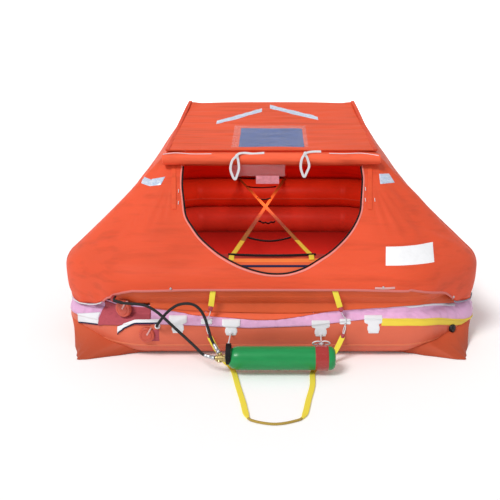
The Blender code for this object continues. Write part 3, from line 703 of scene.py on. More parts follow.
@dataclass(frozen=True)
class ClearFilm(Finish):
    """Thin clear film with crumples that catch the light."""

    alpha: float = 0.07

    def paint(self, graph: Graph) -> None:
        """Crumples on the raft's coordinates over a mostly see-through shader."""
        folds = graph.noise(38.0, 4.0, 0.6, (0.6, 1.0, 1.4))
        graph.set(Base_Color=graph.blend(graph.stretch(0.4, 0.7, folds), self.rgba(0.8), self.rgba()),
                  Roughness=0.12, Alpha=self.alpha, Normal=graph.bump(folds, 0.006, 0.8),
                  Specular_IOR_Level=0.9)


@dataclass(frozen=True)
class StudioFloor(Finish):
    """Matt pale floor or wall, with a faint light of its own where asked."""

    glow: float = 0.0

    def paint(self, graph: Graph) -> None:
        """A very faint unevenness."""
        grain = graph.noise(6.0, 3.0)
        graph.set(Base_Color=graph.blend(grain, self.rgba(0.985), self.rgba()), Roughness=0.85,
                  Specular_IOR_Level=0.1, Emission_Color=self.rgba(), Emission_Strength=self.glow)


CANOPY_CLOTH = CoatedCloth("canopy_cloth", (0.80, 0.092, 0.034), glow=0.12)
ROLL_CLOTH = CoatedCloth("roll_cloth", (0.92, 0.13, 0.055), crease_scale=30.0, crease_depth=0.002)
ROOF_CLOTH = CoatedCloth("roof_cloth", (0.82, 0.098, 0.034), crease_squeeze=(0.16, 2.2, 1.0),
                         crease_scale=16.0, glow=0.1)
SEAM_CLOTH = CoatedCloth("seam_cloth", (0.76, 0.082, 0.032), crease_scale=40.0, crease_depth=0.002)
HEM_CLOTH = CoatedCloth("hem_cloth", (0.86, 0.26, 0.22), crease_scale=40.0, crease_depth=0.002)
BAND_CLOTH = CoatedCloth("band_cloth", (0.76, 0.42, 0.66), crease_squeeze=(1.0, 1.0, 0.5), crease_scale=30.0,
                         crease_depth=0.003, rough=0.45)
TUBE = TubeCloth("tube_cloth", (0.68, 0.135, 0.070))
# The pocket cloth is darker near the ground and paler higher up through above: painted shade under the tube.
POCKET = TubeCloth("pocket_cloth", (0.40, 0.060, 0.020), rough=0.6, coat=0.0, above=1.4)
UPPER_TUBE = TubeCloth("upper_tube_cloth", (0.72, 0.105, 0.028))
# Paler, pinker copy of the tube cloth on the glued laps: a real lap ridge, its paler colour painted highlight
# along it.
LAP_WITH_PAINTED_HIGHLIGHT = TubeCloth("lap_cloth_with_painted_highlight", (0.70, 0.17, 0.08))
JOINT_STRIP = TubeCloth("joint_strip_cloth", (0.80, 0.115, 0.035))
PIPING = TubeCloth("piping_cloth", (0.80, 0.80, 0.88), rough=0.5, coat=0.05, unevenness=0.001)
GREY_CORD = Webbing("grey_cord", (0.30, 0.36, 0.44), rib=0.0015, row=0.002)
COVER = CoatedCloth("cover_cloth", (0.46, 0.075, 0.100), crease_scale=60.0, crease_depth=0.002)
PALE_STRAP = Webbing("pale_strap", (0.78, 0.42, 0.40))
RIM_RIBBON = Webbing("rim_ribbon", (0.74, 0.20, 0.17))
STRAP_RED = TubeCloth("bottle_strap", (0.36, 0.022, 0.020), rough=0.22, coat=0.6, unevenness=0.001)
STRIP_ORANGE = TubeCloth("strip_orange", (0.86, 0.19, 0.035), rough=0.45)
BELT = TubeCloth("belt_cloth", (0.82, 0.62, 0.055), rough=0.5, coat=0.05, unevenness=0.0015)
# Darker copy of the strap webbing for the run under the roof: painted shade.
STRAP_PAINTED_SHADE = Webbing("strap_webbing_painted_shade", (0.36, 0.17, 0.030))
INSIDE_RED = TubeCloth("inside_red", (0.40, 0.030, 0.022), rough=0.6, coat=0.0)
BLACK_MOULDED = TubeCloth("black_moulded", (0.006, 0.006, 0.0065), rough=0.4, coat=0.0, unevenness=0.0005)
ARCH_CLOTH = TubeCloth("arch_cloth", (0.62, 0.08, 0.025))
FLOOR_CLOTH = TubeCloth("floor_cloth", (0.42, 0.05, 0.025), rough=0.55)
WHITE = TubeCloth("white_cloth", (0.78, 0.79, 0.82), rough=0.5, coat=0.05, unevenness=0.0015)
MAROON = TubeCloth("maroon_cloth", (0.33, 0.03, 0.035), rough=0.4)
VALVE_RED = TubeCloth("valve_red", (0.56, 0.080, 0.045), rough=0.35, coat=0.3)
YELLOW = Webbing("yellow_webbing", (0.86, 0.66, 0.045))
STRAP_YELLOW = Webbing("strap_yellow", (0.86, 0.62, 0.055))
OCHRE = Webbing("ochre_webbing", (0.50, 0.34, 0.07))
BLACK_TAPE = Webbing("black_tape", (0.005, 0.005, 0.006), rough=0.6)
WHITE_CORD = Webbing("white_cord", (0.80, 0.81, 0.84), rib=0.0015, row=0.002)
NAVY_TAPE = Webbing("navy_tape", (0.012, 0.014, 0.06))
GREEN = GlossPaint("green_paint", (0.010, 0.265, 0.070))
BLACK = Rubber("black_rubber", (0.004, 0.004, 0.0045))
BRASS = Metal("brass", (0.50, 0.36, 0.16), rough=0.32)
SILVER = Metal("plated_steel", (0.62, 0.63, 0.66), rough=0.25)
RETRO = RetroTape("retro_tape", (0.58, 0.68, 0.86))
BLUE = Plate("blue_plate", (0.020, 0.062, 0.235), mottle=1.9)
BLANK = Plate("white_plate", (0.88, 0.88, 0.90), mottle=0.94)
PINK_LABEL = Plate("pink_label", (0.62, 0.22, 0.26), mottle=1.5)
CLEAR = ClearFilm("clear_film", (0.95, 0.93, 0.95))


def make_piece(name: str, surfaces: Sequence[Surface], finish: Finish, slot: str = "",
               stands_for: Sequence[str] = (), sharp: float = 60.0) -> Object:
    """Puts surfaces into one object that rides on the raft, or belongs to the stage where it has no slot.

    Args:
        name: The piece's name.
        surfaces: Its shells.
        finish: What it is made of.
        slot: The record's material slot that it stands in; where one is given, the piece rides on the raft's
            root body. Its finish comes from finish.
        stands_for: CAD nodes that it replaces.
        sharp: Edges whose faces meet at more degrees than this stay sharp.

    Returns:
        The object.
    """
    whole = joined(surfaces)
    corners = np.concatenate([face.ravel() for face in whole.faces])
    sizes = np.concatenate([np.full(len(face), face.shape[1]) for face in whole.faces])
    mesh = bpy.data.meshes.new(name)
    mesh.vertices.add(len(whole.points))
    mesh.vertices.foreach_set("co", whole.points.ravel())
    mesh.loops.add(len(corners))
    mesh.loops.foreach_set("vertex_index", corners.astype(np.int32))
    mesh.polygons.add(len(sizes))
    mesh.polygons.foreach_set("loop_start", (np.cumsum(sizes) - sizes).astype(np.int32))
    mesh.update(calc_edges=True)
    mesh.uv_layers.new(name="run").uv.foreach_set("vector", np.concatenate([uv.ravel() for uv in whole.uvs]))
    mesh.validate()
    mesh.shade_smooth()
    mesh.set_sharp_from_angle(angle=math.radians(sharp))
    mesh.materials.append(finish.material())
    obj = bpy.data.objects.new(name, mesh)
    bpy.context.collection.objects.link(obj)
    if slot:
        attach(obj, "root")
    if stands_for:
        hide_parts(*stands_for)
    LOG.info("%s: %d faces", name, len(sizes))
    return obj


def apply_modifiers(obj: Object) -> None:
    """Turns an object's modifiers into its mesh.

    Args:
        obj: The object.
    """
    result = bpy.data.meshes.new_from_object(obj.evaluated_get(bpy.context.evaluated_depsgraph_get()))
    name, before = obj.data.name, obj.data
    obj.modifiers.clear()
    obj.data = result
    bpy.data.meshes.remove(before)
    result.name = name


def thicken(obj: Object, thickness: float) -> None:
    """Gives an open sheet its thickness, inwards from the side that it shows."""
    solid = obj.modifiers.new("thickness", "SOLIDIFY")
    solid.thickness, solid.offset = thickness, -1.0


def face_middles(obj: Object) -> Array:
    """Middle of each face of an object, one row each."""
    middle = np.zeros(len(obj.data.polygons) * 3)
    obj.data.polygons.foreach_get("center", middle)
    return middle.reshape(-1, 3)


def repaint(obj: Object, kind: Array, *finishes: Finish) -> None:
    """Gives faces further finishes: kind is 0 where a face keeps its first, else its number in finishes."""
    for finish in finishes:
        obj.data.materials.append(finish.material())
    obj.data.polygons.foreach_set("material_index", kind.astype(np.int32))


# Stage, light and camera


@dataclass
class Studio:
    """Pale floor, soft lights and the camera at the photograph's angle."""

    distance: float = 3.72
    height: float = 1.03
    pitch: float = 0.235
    lens: float = 48.96
    shift: float = -0.043
    world_power: float = 0.52
    sun_power: float = 2.1
    cabin_power: float = 9.6

    def camera(self) -> None:
        """Camera in front of the door, looking a little down."""
        data = bpy.data.cameras.new("camera")
        data.lens, data.sensor_width, data.shift_x = self.lens, 36.0, self.shift
        obj = bpy.data.objects.new("camera", data)
        obj.location = (0.0, -self.distance, self.height)
        obj.rotation_euler = (math.pi / 2 - self.pitch, 0.0, 0.0)
        bpy.context.collection.objects.link(obj)
        bpy.context.scene.camera = obj

    def floor(self) -> None:
        """Flat square floor just under the raft, and a wall far behind it: each is a grid on one plane."""
        span = np.linspace(-14, 14, 9)
        x, y = np.meshgrid(span, span, indexing="ij")
        white = (0.96, 0.96, 0.96)
        make_piece("studio_floor", [grid(coordinates(x, y, -0.0005))],
                   StudioFloor("studio_floor", white, 0.06))
        make_piece("studio_wall", [grid(coordinates(x, 13.9, (y + 14) * 0.35))],
                   StudioFloor("studio_wall", white, 0.35))

    def lights(self) -> None:
        """Even world light, a soft sun from the upper left front, and a red glow in the cabin."""
        world = bpy.data.worlds.new("studio")
        world.use_nodes = True
        inputs = world.node_tree.nodes["Background"].inputs
        inputs["Color"].default_value = (1.0, 1.0, 1.0, 1)
        inputs["Strength"].default_value = self.world_power
        bpy.context.scene.view_settings.view_transform = "Standard"
        bpy.context.scene.world = world
        for name, kind, place, aim, power, size, colour in (
                ("key", "SUN", (-0.42, -0.52, 0.74), (0, 0, 0), self.sun_power, math.radians(20), (1, 1, 1)),
                ("cabin", "AREA", (0.0, 0.02, 0.79), (0.0, 0.20, 0.0), self.cabin_power, 0.3,
                 (1, 0.32, 0.30))):
            data = bpy.data.lights.new(name, kind)
            data.energy, data.color = power, colour
            setattr(data, "angle" if kind == "SUN" else "size", size)
            obj = bpy.data.objects.new(name, data)
            obj.location = place
            step = np.subtract(aim, place)
            flat = math.hypot(step[0], step[1])
            obj.rotation_euler = (math.atan2(flat, -step[2]), 0.0, math.atan2(-step[0], step[1]))
            bpy.context.collection.objects.link(obj)

    def build(self) -> None:
        """Camera, floor and lights."""
        self.camera()
        self.floor()
        self.lights()


# Hull


@dataclass
class HullPlan:
    """Centre line of the hull's tubes: an eight-sided ring with two bends at each corner."""

    width: float = 1.71
    length: float = 2.48
    corner_cut: float = 0.27
    tube: float = 0.098
    bevel: float = 0.035
    bend: float = 0.028
    lower_z: float = 0.098
    upper_z: float = 0.2943
    bulge: float = 0.018
    ring: Array = field(init=False)
    places: Array = field(init=False)
    line: Array = field(init=False)
    normal: Array = field(init=False)

    def __post_init__(self) -> None:
        """Works out the ring's corners, and a fine table of its line and outward directions.

        Each bend is the quadratic curve from bend before its corner to bend after it. Under pressure the
        cloth bulges at the four corners, by a bell curve of Y.
        """
        half_x, half_y = self.width / 2 - self.tube, self.length / 2 - self.tube
        cut = self.corner_cut - (2 - math.sqrt(2)) * self.tube
        corners = np.array([(half_x - cut, -half_y), (half_x, cut - half_y), (half_x, half_y - cut),
                            (half_x - cut, half_y), (cut - half_x, half_y), (-half_x, half_y - cut),
                            (-half_x, cut - half_y), (cut - half_x, -half_y)])
        back = unit(np.roll(corners, 1, axis=0) - corners)
        ahead = unit(np.roll(corners, -1, axis=0) - corners)
        self.ring = np.stack([corners + back * self.bevel, corners + ahead * self.bevel],
                             axis=1).reshape(-1, 2)
        before, after = np.roll(self.ring, 1, axis=0), np.roll(self.ring, -1, axis=0)
        t = np.linspace(0, 1, 13)[None, :, None]
        start = self.ring + unit(before - self.ring) * self.bend
        end = self.ring + unit(after - self.ring) * self.bend
        middle = self.ring[:, None]
        curve = start[:, None] * (1 - t) ** 2 + 2 * middle * t * (1 - t) + end[:, None] * t ** 2
        run = 2 * (1 - t) * (middle - start[:, None]) + 2 * t * (end[:, None] - middle)
        run = unit(run)
        share_before = self.bend / np.linalg.norm(self.ring - before, axis=1)
        share_after = self.bend / np.linalg.norm(after - self.ring, axis=1)
        local = np.linspace(-1, 1, 13)[None]
        width = np.where(local < 0, share_before[:, None], share_after[:, None])
        places = (np.arange(16)[:, None] + local * width).ravel()
        table = np.column_stack([curve.reshape(-1, 2), run[..., 1].ravel(), -run[..., 0].ravel()])
        extra = np.setdiff1d(np.round(np.arange(0, 16, 0.02), 4), np.round(places, 4))
        near = np.concatenate([places - 16, places, places + 16])
        extra = extra[np.abs(extra[:, None] - near[None]).min(axis=1) > 0.004]
        added = np.stack([np.interp(extra, places, table[:, k], period=16) for k in range(4)], axis=1)
        order = np.argsort(np.concatenate([places, extra]) % 16)
        self.places = (np.concatenate([places, extra]) % 16)[order]
        table = np.vstack([table, added])[order]
        self.line, self.normal = table[:, :2], unit(table[:, 2:])
        x, y = np.abs(self.line).T
        swell = self.bulge * bell(y, 0.97, 0.17) * ease(0.50, 0.70, x)
        self.line = self.line + self.normal * swell[:, None]

    def at(self, place: Array) -> tuple[Array, Array]:
        """Centre line's point and outward direction at ring positions, corner number plus fraction.

        Args:
            place: Ring positions.

        Returns:
            Plan points and plan directions, two numbers each.
        """
        place = np.asarray(place, float)

        def look_up(values: Array) -> Array:
            """Values of the table at each place."""
            return np.interp(place, self.places, values, period=16)

        line, normal = (coordinates(*(look_up(column) for column in table.T))
                        for table in (self.line, self.normal))
        return line, unit(normal)

    def mitred(self, place: float, offset: float) -> Array:
        """Plan point at a ring position, moved outward by offset along its corners' mitres.

        Args:
            place: The ring position.
            offset: Distance out, in metres.

        Returns:
            X and Y.
        """
        step = unit(np.roll(self.ring, -1, axis=0) - self.ring)
        after = np.stack([step[:, 1], -step[:, 0]], axis=1)
        before = np.roll(after, 1, axis=0)
        mitre = (before + after) / (1 + np.sum(before * after, axis=1, keepdims=True))
        corners = self.ring + mitre * offset
        k, t = int(place) % 16, place - int(place)
        return corners[k] * (1 - t) + corners[(k + 1) % 16] * t

    def edge_normal(self, place: float) -> Array:
        """Outward direction of the straight edge at a ring position, level with the ground."""
        k = int(place) % 16
        ahead = unit(self.ring[(k + 1) % 16] - self.ring[k])
        return np.array([ahead[1], -ahead[0], 0.0])

    def on_tube(self, place: Array, angle: Array, radius: Array, centre_z: float) -> Array:
        """Points round a tube.

        The point is the line's point plus radius times the angle's cosine outwards, and its sine upwards.

        Args:
            place: Ring positions.
            angle: Degrees above straight out.
            radius: Distance from the centre line.
            centre_z: Height of the tube's middle.

        Returns:
            Points, in the shape that the first three share.
        """
        place, angle, radius = np.broadcast_arrays(place, np.radians(angle), radius)
        line, normal = self.at(place)
        flat = line + normal * (radius * np.cos(angle))[..., None]
        return np.concatenate([flat, (centre_z + radius * np.sin(angle))[..., None]], axis=-1)

    def place_on(self, edge: int, along: float) -> float:
        """Ring position on the straight edge that starts at corner edge, where X or Y equals along."""
        a, b = self.ring[edge % 16], self.ring[(edge + 1) % 16]
        k = 0 if abs(b[0] - a[0]) > abs(b[1] - a[1]) else 1
        return edge + (along - a[k]) / (b[k] - a[k])

    def samples(self, low: float, high: float, spacing: float) -> Array:
        """Ring positions from low to high, each bend's table points and even steps between them.

        Args:
            low: First ring position.
            high: Last one.
            spacing: Longest step between them, in metres.

        Returns:
            The positions in order.
        """
        laps = np.concatenate([self.places + 16 * k for k in (-2, -1, 0, 1, 2)])
        inside = np.unique(np.concatenate([[low, high], laps[(laps > low + 1e-6) & (laps < high - 1e-6)]]))
        line, _ = self.at(inside)
        counts = np.maximum(np.ceil(steps(line) / spacing), 1)
        run = np.concatenate([[0], np.cumsum(counts)])
        return np.interp(np.arange(run[-1] + 1), run, inside)


PLAN = HullPlan()


class Edge(IntEnum):
    """Straight runs of the hull, by the ring number of their first corner."""

    FRONT = 15
    RIGHT = 3
    REAR = 7
    LEFT = 11


@dataclass
class Hull:
    """The two tubes with their laps, the water pockets, and the pale band and strips over the joint."""

    skin: float = 0.0985
    sides: int = 48
    band_lift: float = 0.0022
    strip_lift: float = 0.0050

    def tube(self, name: str, centre_z: float, finish: Finish, seed: int) -> None:
        """One tube: a circle carried round the ring, its radius varied by soft swells and seam puckers.

        Args:
            name: The CAD node that it stands for.
            centre_z: Height of its middle.
            finish: Its cloth.
            seed: Seed of its swells.
        """
        place = PLAN.samples(0.0, 16.0, 0.02)[:-1]
        angle = np.arange(self.sides) * 360.0 / self.sides
        line, _ = PLAN.at(place)
        run = run_along(line)[:, None]
        turn = np.radians(angle)[None]
        swell = 0.0004 * ripple(run, np.sin(turn) * 0.2, 0.31, seed)
        corner = bell((place[:, None] % 4), 1.5, 0.9)
        gathers = np.sin(run * 2 * math.pi / 0.034 + 2 * np.sin(turn))
        pucker = 0.0011 * corner * gathers * np.cos(turn / 2) ** 2
        radius = self.skin + swell + pucker * 0.6
        points = PLAN.on_tube(place[:, None], angle[None], radius, centre_z)
        shell = grid(points, wrap_rows=True, wrap_columns=True).outward()
        make_piece(name + "_skin", [shell], finish, "orange_tube", [name])

    def lap(self, name: str, centre_z: float, low: float, high: float, finish: Finish) -> None:
        """A glued lap strip round a tube, a millimetre proud: a slab between two angles.

        Args:
            name: Of the piece.
            centre_z: Height of the tube's middle.
            low: Angle of one edge.
            high: Angle of the other.
            finish: Its cloth.
        """
        place = PLAN.samples(0.0, 16.0, 0.05)[:-1]
        waver = 0.5 * np.sin(np.arange(len(place)) * 0.9)
        angle = low + (high - low) * np.array([0, 0.08, 0.3, 0.7, 0.92, 1.0])
        lift = np.array([0.0, 0.0011, 0.0013, 0.0013, 0.0011, 0.0])
        back = angle[::-1]
        around = np.concatenate([angle, back])
        radius = self.skin + np.concatenate([lift + 0.0003, np.full(6, -0.0012)])
        points = PLAN.on_tube(place[:, None], around[None] + waver[:, None], radius[None], centre_z)
        # The lap's finish is paler and pinker than the tube: painted highlight along a real ridge.
        make_piece(name, [grid(points, wrap_rows=True, wrap_columns=True).outward()], finish, "orange_tube")

    def pockets(self) -> None:
        """A water pocket at each corner, draped from the tube's side to a fold on the ground.

        Each row runs straight from the tube to the fold and is pushed out to the tube's skin where it would
        cut into it. Soft ridges are sine waves on the run that grow downwards.
        """
        step, start, fold_x, fold_y = np.array([
            (-0.30, -68, 0.450, -1.156), (0.0, -60, 0.530, -1.176), (0.35, -46, 0.600, -1.205),
            (0.7, -36, 0.665, -1.230), (1.0, -30, 0.722, -1.248), (1.12, -28, 0.748, -1.253),
            (1.25, -24, 0.757, -1.245), (1.5, -15, 0.770, -1.200), (2.0, -5, 0.800, -1.110),
            (2.6, -4, 0.822, -1.000), (3.0, -6, 0.826, -0.900), (3.08, -30, 0.806, -0.780),
            (3.14, -64, 0.780, -0.690)]).T
        local = np.unique(np.concatenate([np.linspace(step[0], step[-1], 110), step]))
        angle = np.interp(local, step, start)
        share = np.linspace(0, 1, 26)[None, :, None]
        for label, edge, mirrored, sign_x, sign_y in (
                ("front_right", 0, False, 1, 1), ("rear_right", 4, True, 1, -1),
                ("rear_left", 8, False, -1, -1), ("front_left", 12, True, -1, 1)):
            place = edge + (3 - local if mirrored else local)
            line, normal = PLAN.at(place)
            top = PLAN.on_tube(place, angle, self.skin + 0.0006, PLAN.lower_z)[:, None]
            low = coordinates(sign_x * np.interp(local, step, fold_x),
                              sign_y * np.interp(local, step, fold_y), 0.0012)[:, None]
            points = top + (low - top) * share
            reach = np.einsum("ijk,ik->ij", points[..., :2] - line[:, None], normal)
            rise = np.clip(points[..., 2] - PLAN.lower_z, -self.skin, self.skin)
            skin = np.sqrt(self.skin ** 2 - rise ** 2) + 0.0008
            ridge = 0.0020 * share[..., 0] ** 1.4 * np.sin(local * 17 + 2 * np.sin(local * 5))[:, None]
            push = np.maximum(skin - reach, 0) + ridge * ease(0.0, 0.02, reach - skin)
            points[..., :2] += normal[:, None] * push[..., None]
            inner = points.copy()
            inner[..., :2] -= normal[:, None] * 0.002
            make_piece("pocket_" + label + "_cloth", [slab(points, inner)], POCKET, "orange_tube",
                       ["pocket_" + label])

    def low_angle(self, place: Array) -> Array:
        """Angle on the lower tube of the band's lower edge at each ring position.

        Args:
            place: Ring positions.

        Returns:
            Angles in degrees.
        """
        line, _ = PLAN.at(place)
        x, y = line[..., 0], line[..., 1]
        front = np.interp(x, [-0.78, -0.72, -0.60, -0.46, -0.27, -0.085, 0.15,
                              0.378, 0.50, 0.569, 0.651, 0.732, 0.757],
                          [10.0, 12.0, 18.0, 25.0, 21.5, 16.0, 21.0, 37.0, 33.0, 28.0, 12.0, -3.0, -8.0])
        rear = np.interp(np.abs(x), [0.0, 0.3, 0.5, 0.7], [15.0, 22.0, 28.0, 14.0])
        ends = np.where(y < 0, front, rear)
        turn = np.where((y < 0) & (x > 0), np.abs(y) + 0.09, np.abs(y))
        return 10.0 + (ends - 10.0) * ease(0.90, 1.02, turn)

    def hug(self, place: Array, angle: Array, lift: float, centre_z: float | None = None) -> Surface:
        """A patch glued on a tube: a slab between the skin and lift above it, rounded off at its border.

        The height is lift times the root of two factors, one down and one across: one less the tenth power
        of the share. On the lower tube it rises by the band's thickness where it lies over the band.

        Args:
            place: Ring positions, a grid or one for each column.
            angle: Angles, a grid or one for each row.
            lift: Height above the skin.
            centre_z: Height of the tube's middle, the lower tube's where none is given.

        Returns:
            A closed surface.
        """
        place, angle = np.broadcast_arrays(place, angle)
        centre = PLAN.lower_z if centre_z is None else centre_z
        down = np.linspace(-1, 1, place.shape[0])[:, None]
        across = np.linspace(-1, 1, place.shape[1])[None]
        border = np.sqrt((1 - down ** 10) * (1 - across ** 10))
        over = 0.0048 * ease(-2.0, 1.5, angle - self.low_angle(place)) if centre_z is None else 0.0
        top = PLAN.on_tube(place, angle, self.skin + 0.0004 + over + lift * border, centre)
        bottom = PLAN.on_tube(place, angle, self.skin - 0.0015, centre)
        return slab(top, bottom)

    def level(self, angle: Array, centre_z: float, lift: float) -> Array:
        """Height of a point on a tube at an angle, lift above its skin."""
        return centre_z + (self.skin + lift) * np.sin(np.radians(angle))

    def over_joint(self, place: Array, bottom: Array, top: Array, lift: float | Array, folds: float | Array,
                   columns: int = 19, flare: float = 0.0) -> Array:
        """Cloth over the tubes' joint, from one height to another.

        On both tubes it lies lift above the skin. Between 50 degrees on either tube it bridges the joint at
        a steady distance. Diagonal folds have sharp crests: one less twice the absolute sine of half a phase
        that grows along the run and with the height.

        Args:
            place: Ring positions.
            bottom: Height of its lower edge at each.
            top: Height of its upper edge at each.
            lift: Height above the skin.
            folds: Height of the folds.
            columns: Points across.
            flare: How far the lower edge stands off.

        Returns:
            Array of places by columns by three.
        """
        line, normal = PLAN.at(place)
        run = run_along(line)[:, None]
        out = self.skin + lift
        share = np.linspace(0, 1, columns)[None]
        bottom, top = (np.broadcast_to(v, place.shape)[:, None] for v in (bottom, top))
        height = bottom + (top - bottom) * share

        def reach(centre: float) -> Array:
            """Distance out of a tube's round at each height."""
            return np.sqrt(np.maximum(out ** 2 - np.clip(height - centre, -out, out) ** 2, 0.0))

        offset = np.maximum(np.maximum(reach(PLAN.lower_z), reach(PLAN.upper_z)),
                            out * math.cos(math.radians(50)))
        phase = 2 * math.pi * (run + (height - 0.196) * 1.2 + 0.006 * np.sin(run * 14)) / 0.036
        crest = 1 - 2 * np.abs(np.sin(phase / 2 + 0.9 * np.sin(run * 7.0) + 0.5 * np.sin(run * 23.0)))
        cross = 1 - 2 * np.abs(np.sin(math.pi * (run - height * 0.8) / 0.047 + 1.4 * np.sin(run * 5.0)))
        deep = 0.65 + 0.35 * np.sin(run * 31.0 + 2.0 * np.sin(run * 6.0))
        fade = np.sin(math.pi * np.clip(share * 0.9 + 0.06, 0, 1))
        offset = offset + folds * (crest * deep + 0.4 * cross) * fade + flare * (1 - share) ** 1.5
        flat = line[:, None] + normal[:, None] * offset[..., None]
        return np.concatenate([flat, height[..., None]], axis=-1)

    def band(self) -> None:
        """The pale band under the joint, the strips and aprons over it, and the pale line on the right."""
        place = PLAN.samples(0.0, 16.0, 0.006)[:-1]
        lift = self.band_lift
        low = self.level(self.low_angle(place), PLAN.lower_z, lift)
        high = self.level(-58.0, PLAN.upper_z, lift)
        bare = 1 - (ease(13.5, 13.7, place) * (1 - ease(15.05, 15.2, place)))[:, None]
        points = self.over_joint(place, low, high, lift + 0.0010 * bare, 0.0006 + 0.0015 * bare, columns=15)
        obj = make_piece("hull_band_cloth", [grid(points, wrap_rows=True)], BAND_CLOTH, "pink_band",
                         ["hull_band"])
        thicken(obj, 0.0016)
        front = PLAN.samples(PLAN.place_on(Edge.FRONT, -0.47), 17.75, 0.010)
        rear = PLAN.samples(PLAN.place_on(Edge.REAR, 0.42), PLAN.place_on(Edge.REAR, -0.42), 0.010)
        corner_edge = ((15.93, 15.96, 16.0, 17.0, 17.2, 17.4, 17.6, 17.75),
                       (0.199, 0.203, 0.206, 0.203, 0.194, 0.185, 0.176, 0.172))
        for label, run, apron, lens in (
                ("front", front,
                 ((-0.47, 0.200), (-0.305, 0.188), (-0.155, 0.181), (0.0, 0.177), (0.107, 0.177),
                  (0.24, 0.186), (0.33, 0.193), (0.42, 0.199)),
                 ((-0.47, 0.197), (-0.38, 0.184), (-0.305, 0.171), (-0.15, 0.162), (-0.06, 0.155),
                  (0.02, 0.156), (0.107, 0.166), (0.24, 0.184), (0.33, 0.1925), (0.42, 0.199))),
                ("rear", rear, ((-0.42, 0.199), (-0.15, 0.179), (0.15, 0.179), (0.42, 0.199)),
                 ((-0.42, 0.199), (-0.15, 0.160), (0.15, 0.160), (0.42, 0.199)))):
            line, _ = PLAN.at(run)
            edge, brim = (np.interp(line[:, 0], *np.array(rows).T) for rows in (apron, lens))
            if label == "front":
                corner = np.interp(run, *corner_edge)
                edge, brim = (np.where(run > corner_edge[0][0], corner, heights) for heights in (edge, brim))
            lap = run < 15.95
            strip = self.over_joint(run[lap], brim[lap], np.maximum(edge, brim)[lap] + 0.008, self.strip_lift,
                                    0.0003, columns=9)
            thicken(make_piece("joint_strip_" + label, [grid(strip)], JOINT_STRIP, "orange_tube"), 0.0016)
            sheet = self.over_joint(run, edge, self.level(-25.0, PLAN.upper_z, 0.0006), 0.0006, 0.0004,
                                    columns=21, flare=0.0064)
            thicken(make_piece("joint_apron_" + label, [grid(sheet)], UPPER_TUBE, "orange_tube"), 0.0014)
        run = PLAN.samples(15.88, 17.7, 0.008)
        rise = np.interp(run, *corner_edge) - 0.002
        pale = self.over_joint(run, rise - 0.008 * ease(15.88, 16.2, run), rise, self.strip_lift,
                               0.0002, columns=5)
        thicken(make_piece("band_piping", [grid(pale)], PIPING, "pink_band"), 0.0010)

    def build(self) -> None:
        """Tubes, laps, band and pockets."""
        self.pockets()
        self.tube("lower_tube", PLAN.lower_z, TUBE, 3)
        self.tube("upper_tube", PLAN.upper_z, UPPER_TUBE, 8)
        self.lap("lower_lap", PLAN.lower_z, -30.5, -24.5, LAP_WITH_PAINTED_HIGHLIGHT)
        self.lap("upper_lap", PLAN.upper_z, 196.0, 203.0, LAP_WITH_PAINTED_HIGHLIGHT)
        self.band()
        node = FRAME["nodes"]["floor"]
        node.data.materials.clear()
        node.data.materials.append(FLOOR_CLOTH.material())


HULL = Hull()


# Canopy


@dataclass(frozen=True)
class FoldLine:
    """A soft ridge in stretched cloth, from one point of a flat view to another."""

    start: tuple[float, float]
    end: tuple[float, float]
    height: float = 0.003
    width: float = 0.014

    def lift(self, across: Array, height: Array) -> Array:
        """Rise of the cloth at each point.

        It is a bell curve of the distance to the line, less a wider and lower one beside it, and it fades
        in and out along the line.

        Args:
            across: First coordinate of the points in the flat view.
            height: Their second coordinate.

        Returns:
            The rise in metres.
        """
        a, b = np.array(self.start), np.array(self.end)
        step = b - a
        length = float(np.linalg.norm(step))
        x, z = across - a[0], height - a[1]
        along = (x * step[0] + z * step[1]) / length ** 2
        away = (x * step[1] - z * step[0]) / length
        wide = self.width * (0.5 + 0.9 * np.clip(along, 0, 1))
        profile = np.exp(-(away / wide) ** 2) - 0.55 * np.exp(-((away - 1.6 * wide) / (1.3 * wide)) ** 2)
        return self.height * profile * ease(-0.02, 0.15, along) * (1 - ease(0.6, 1.1, along))


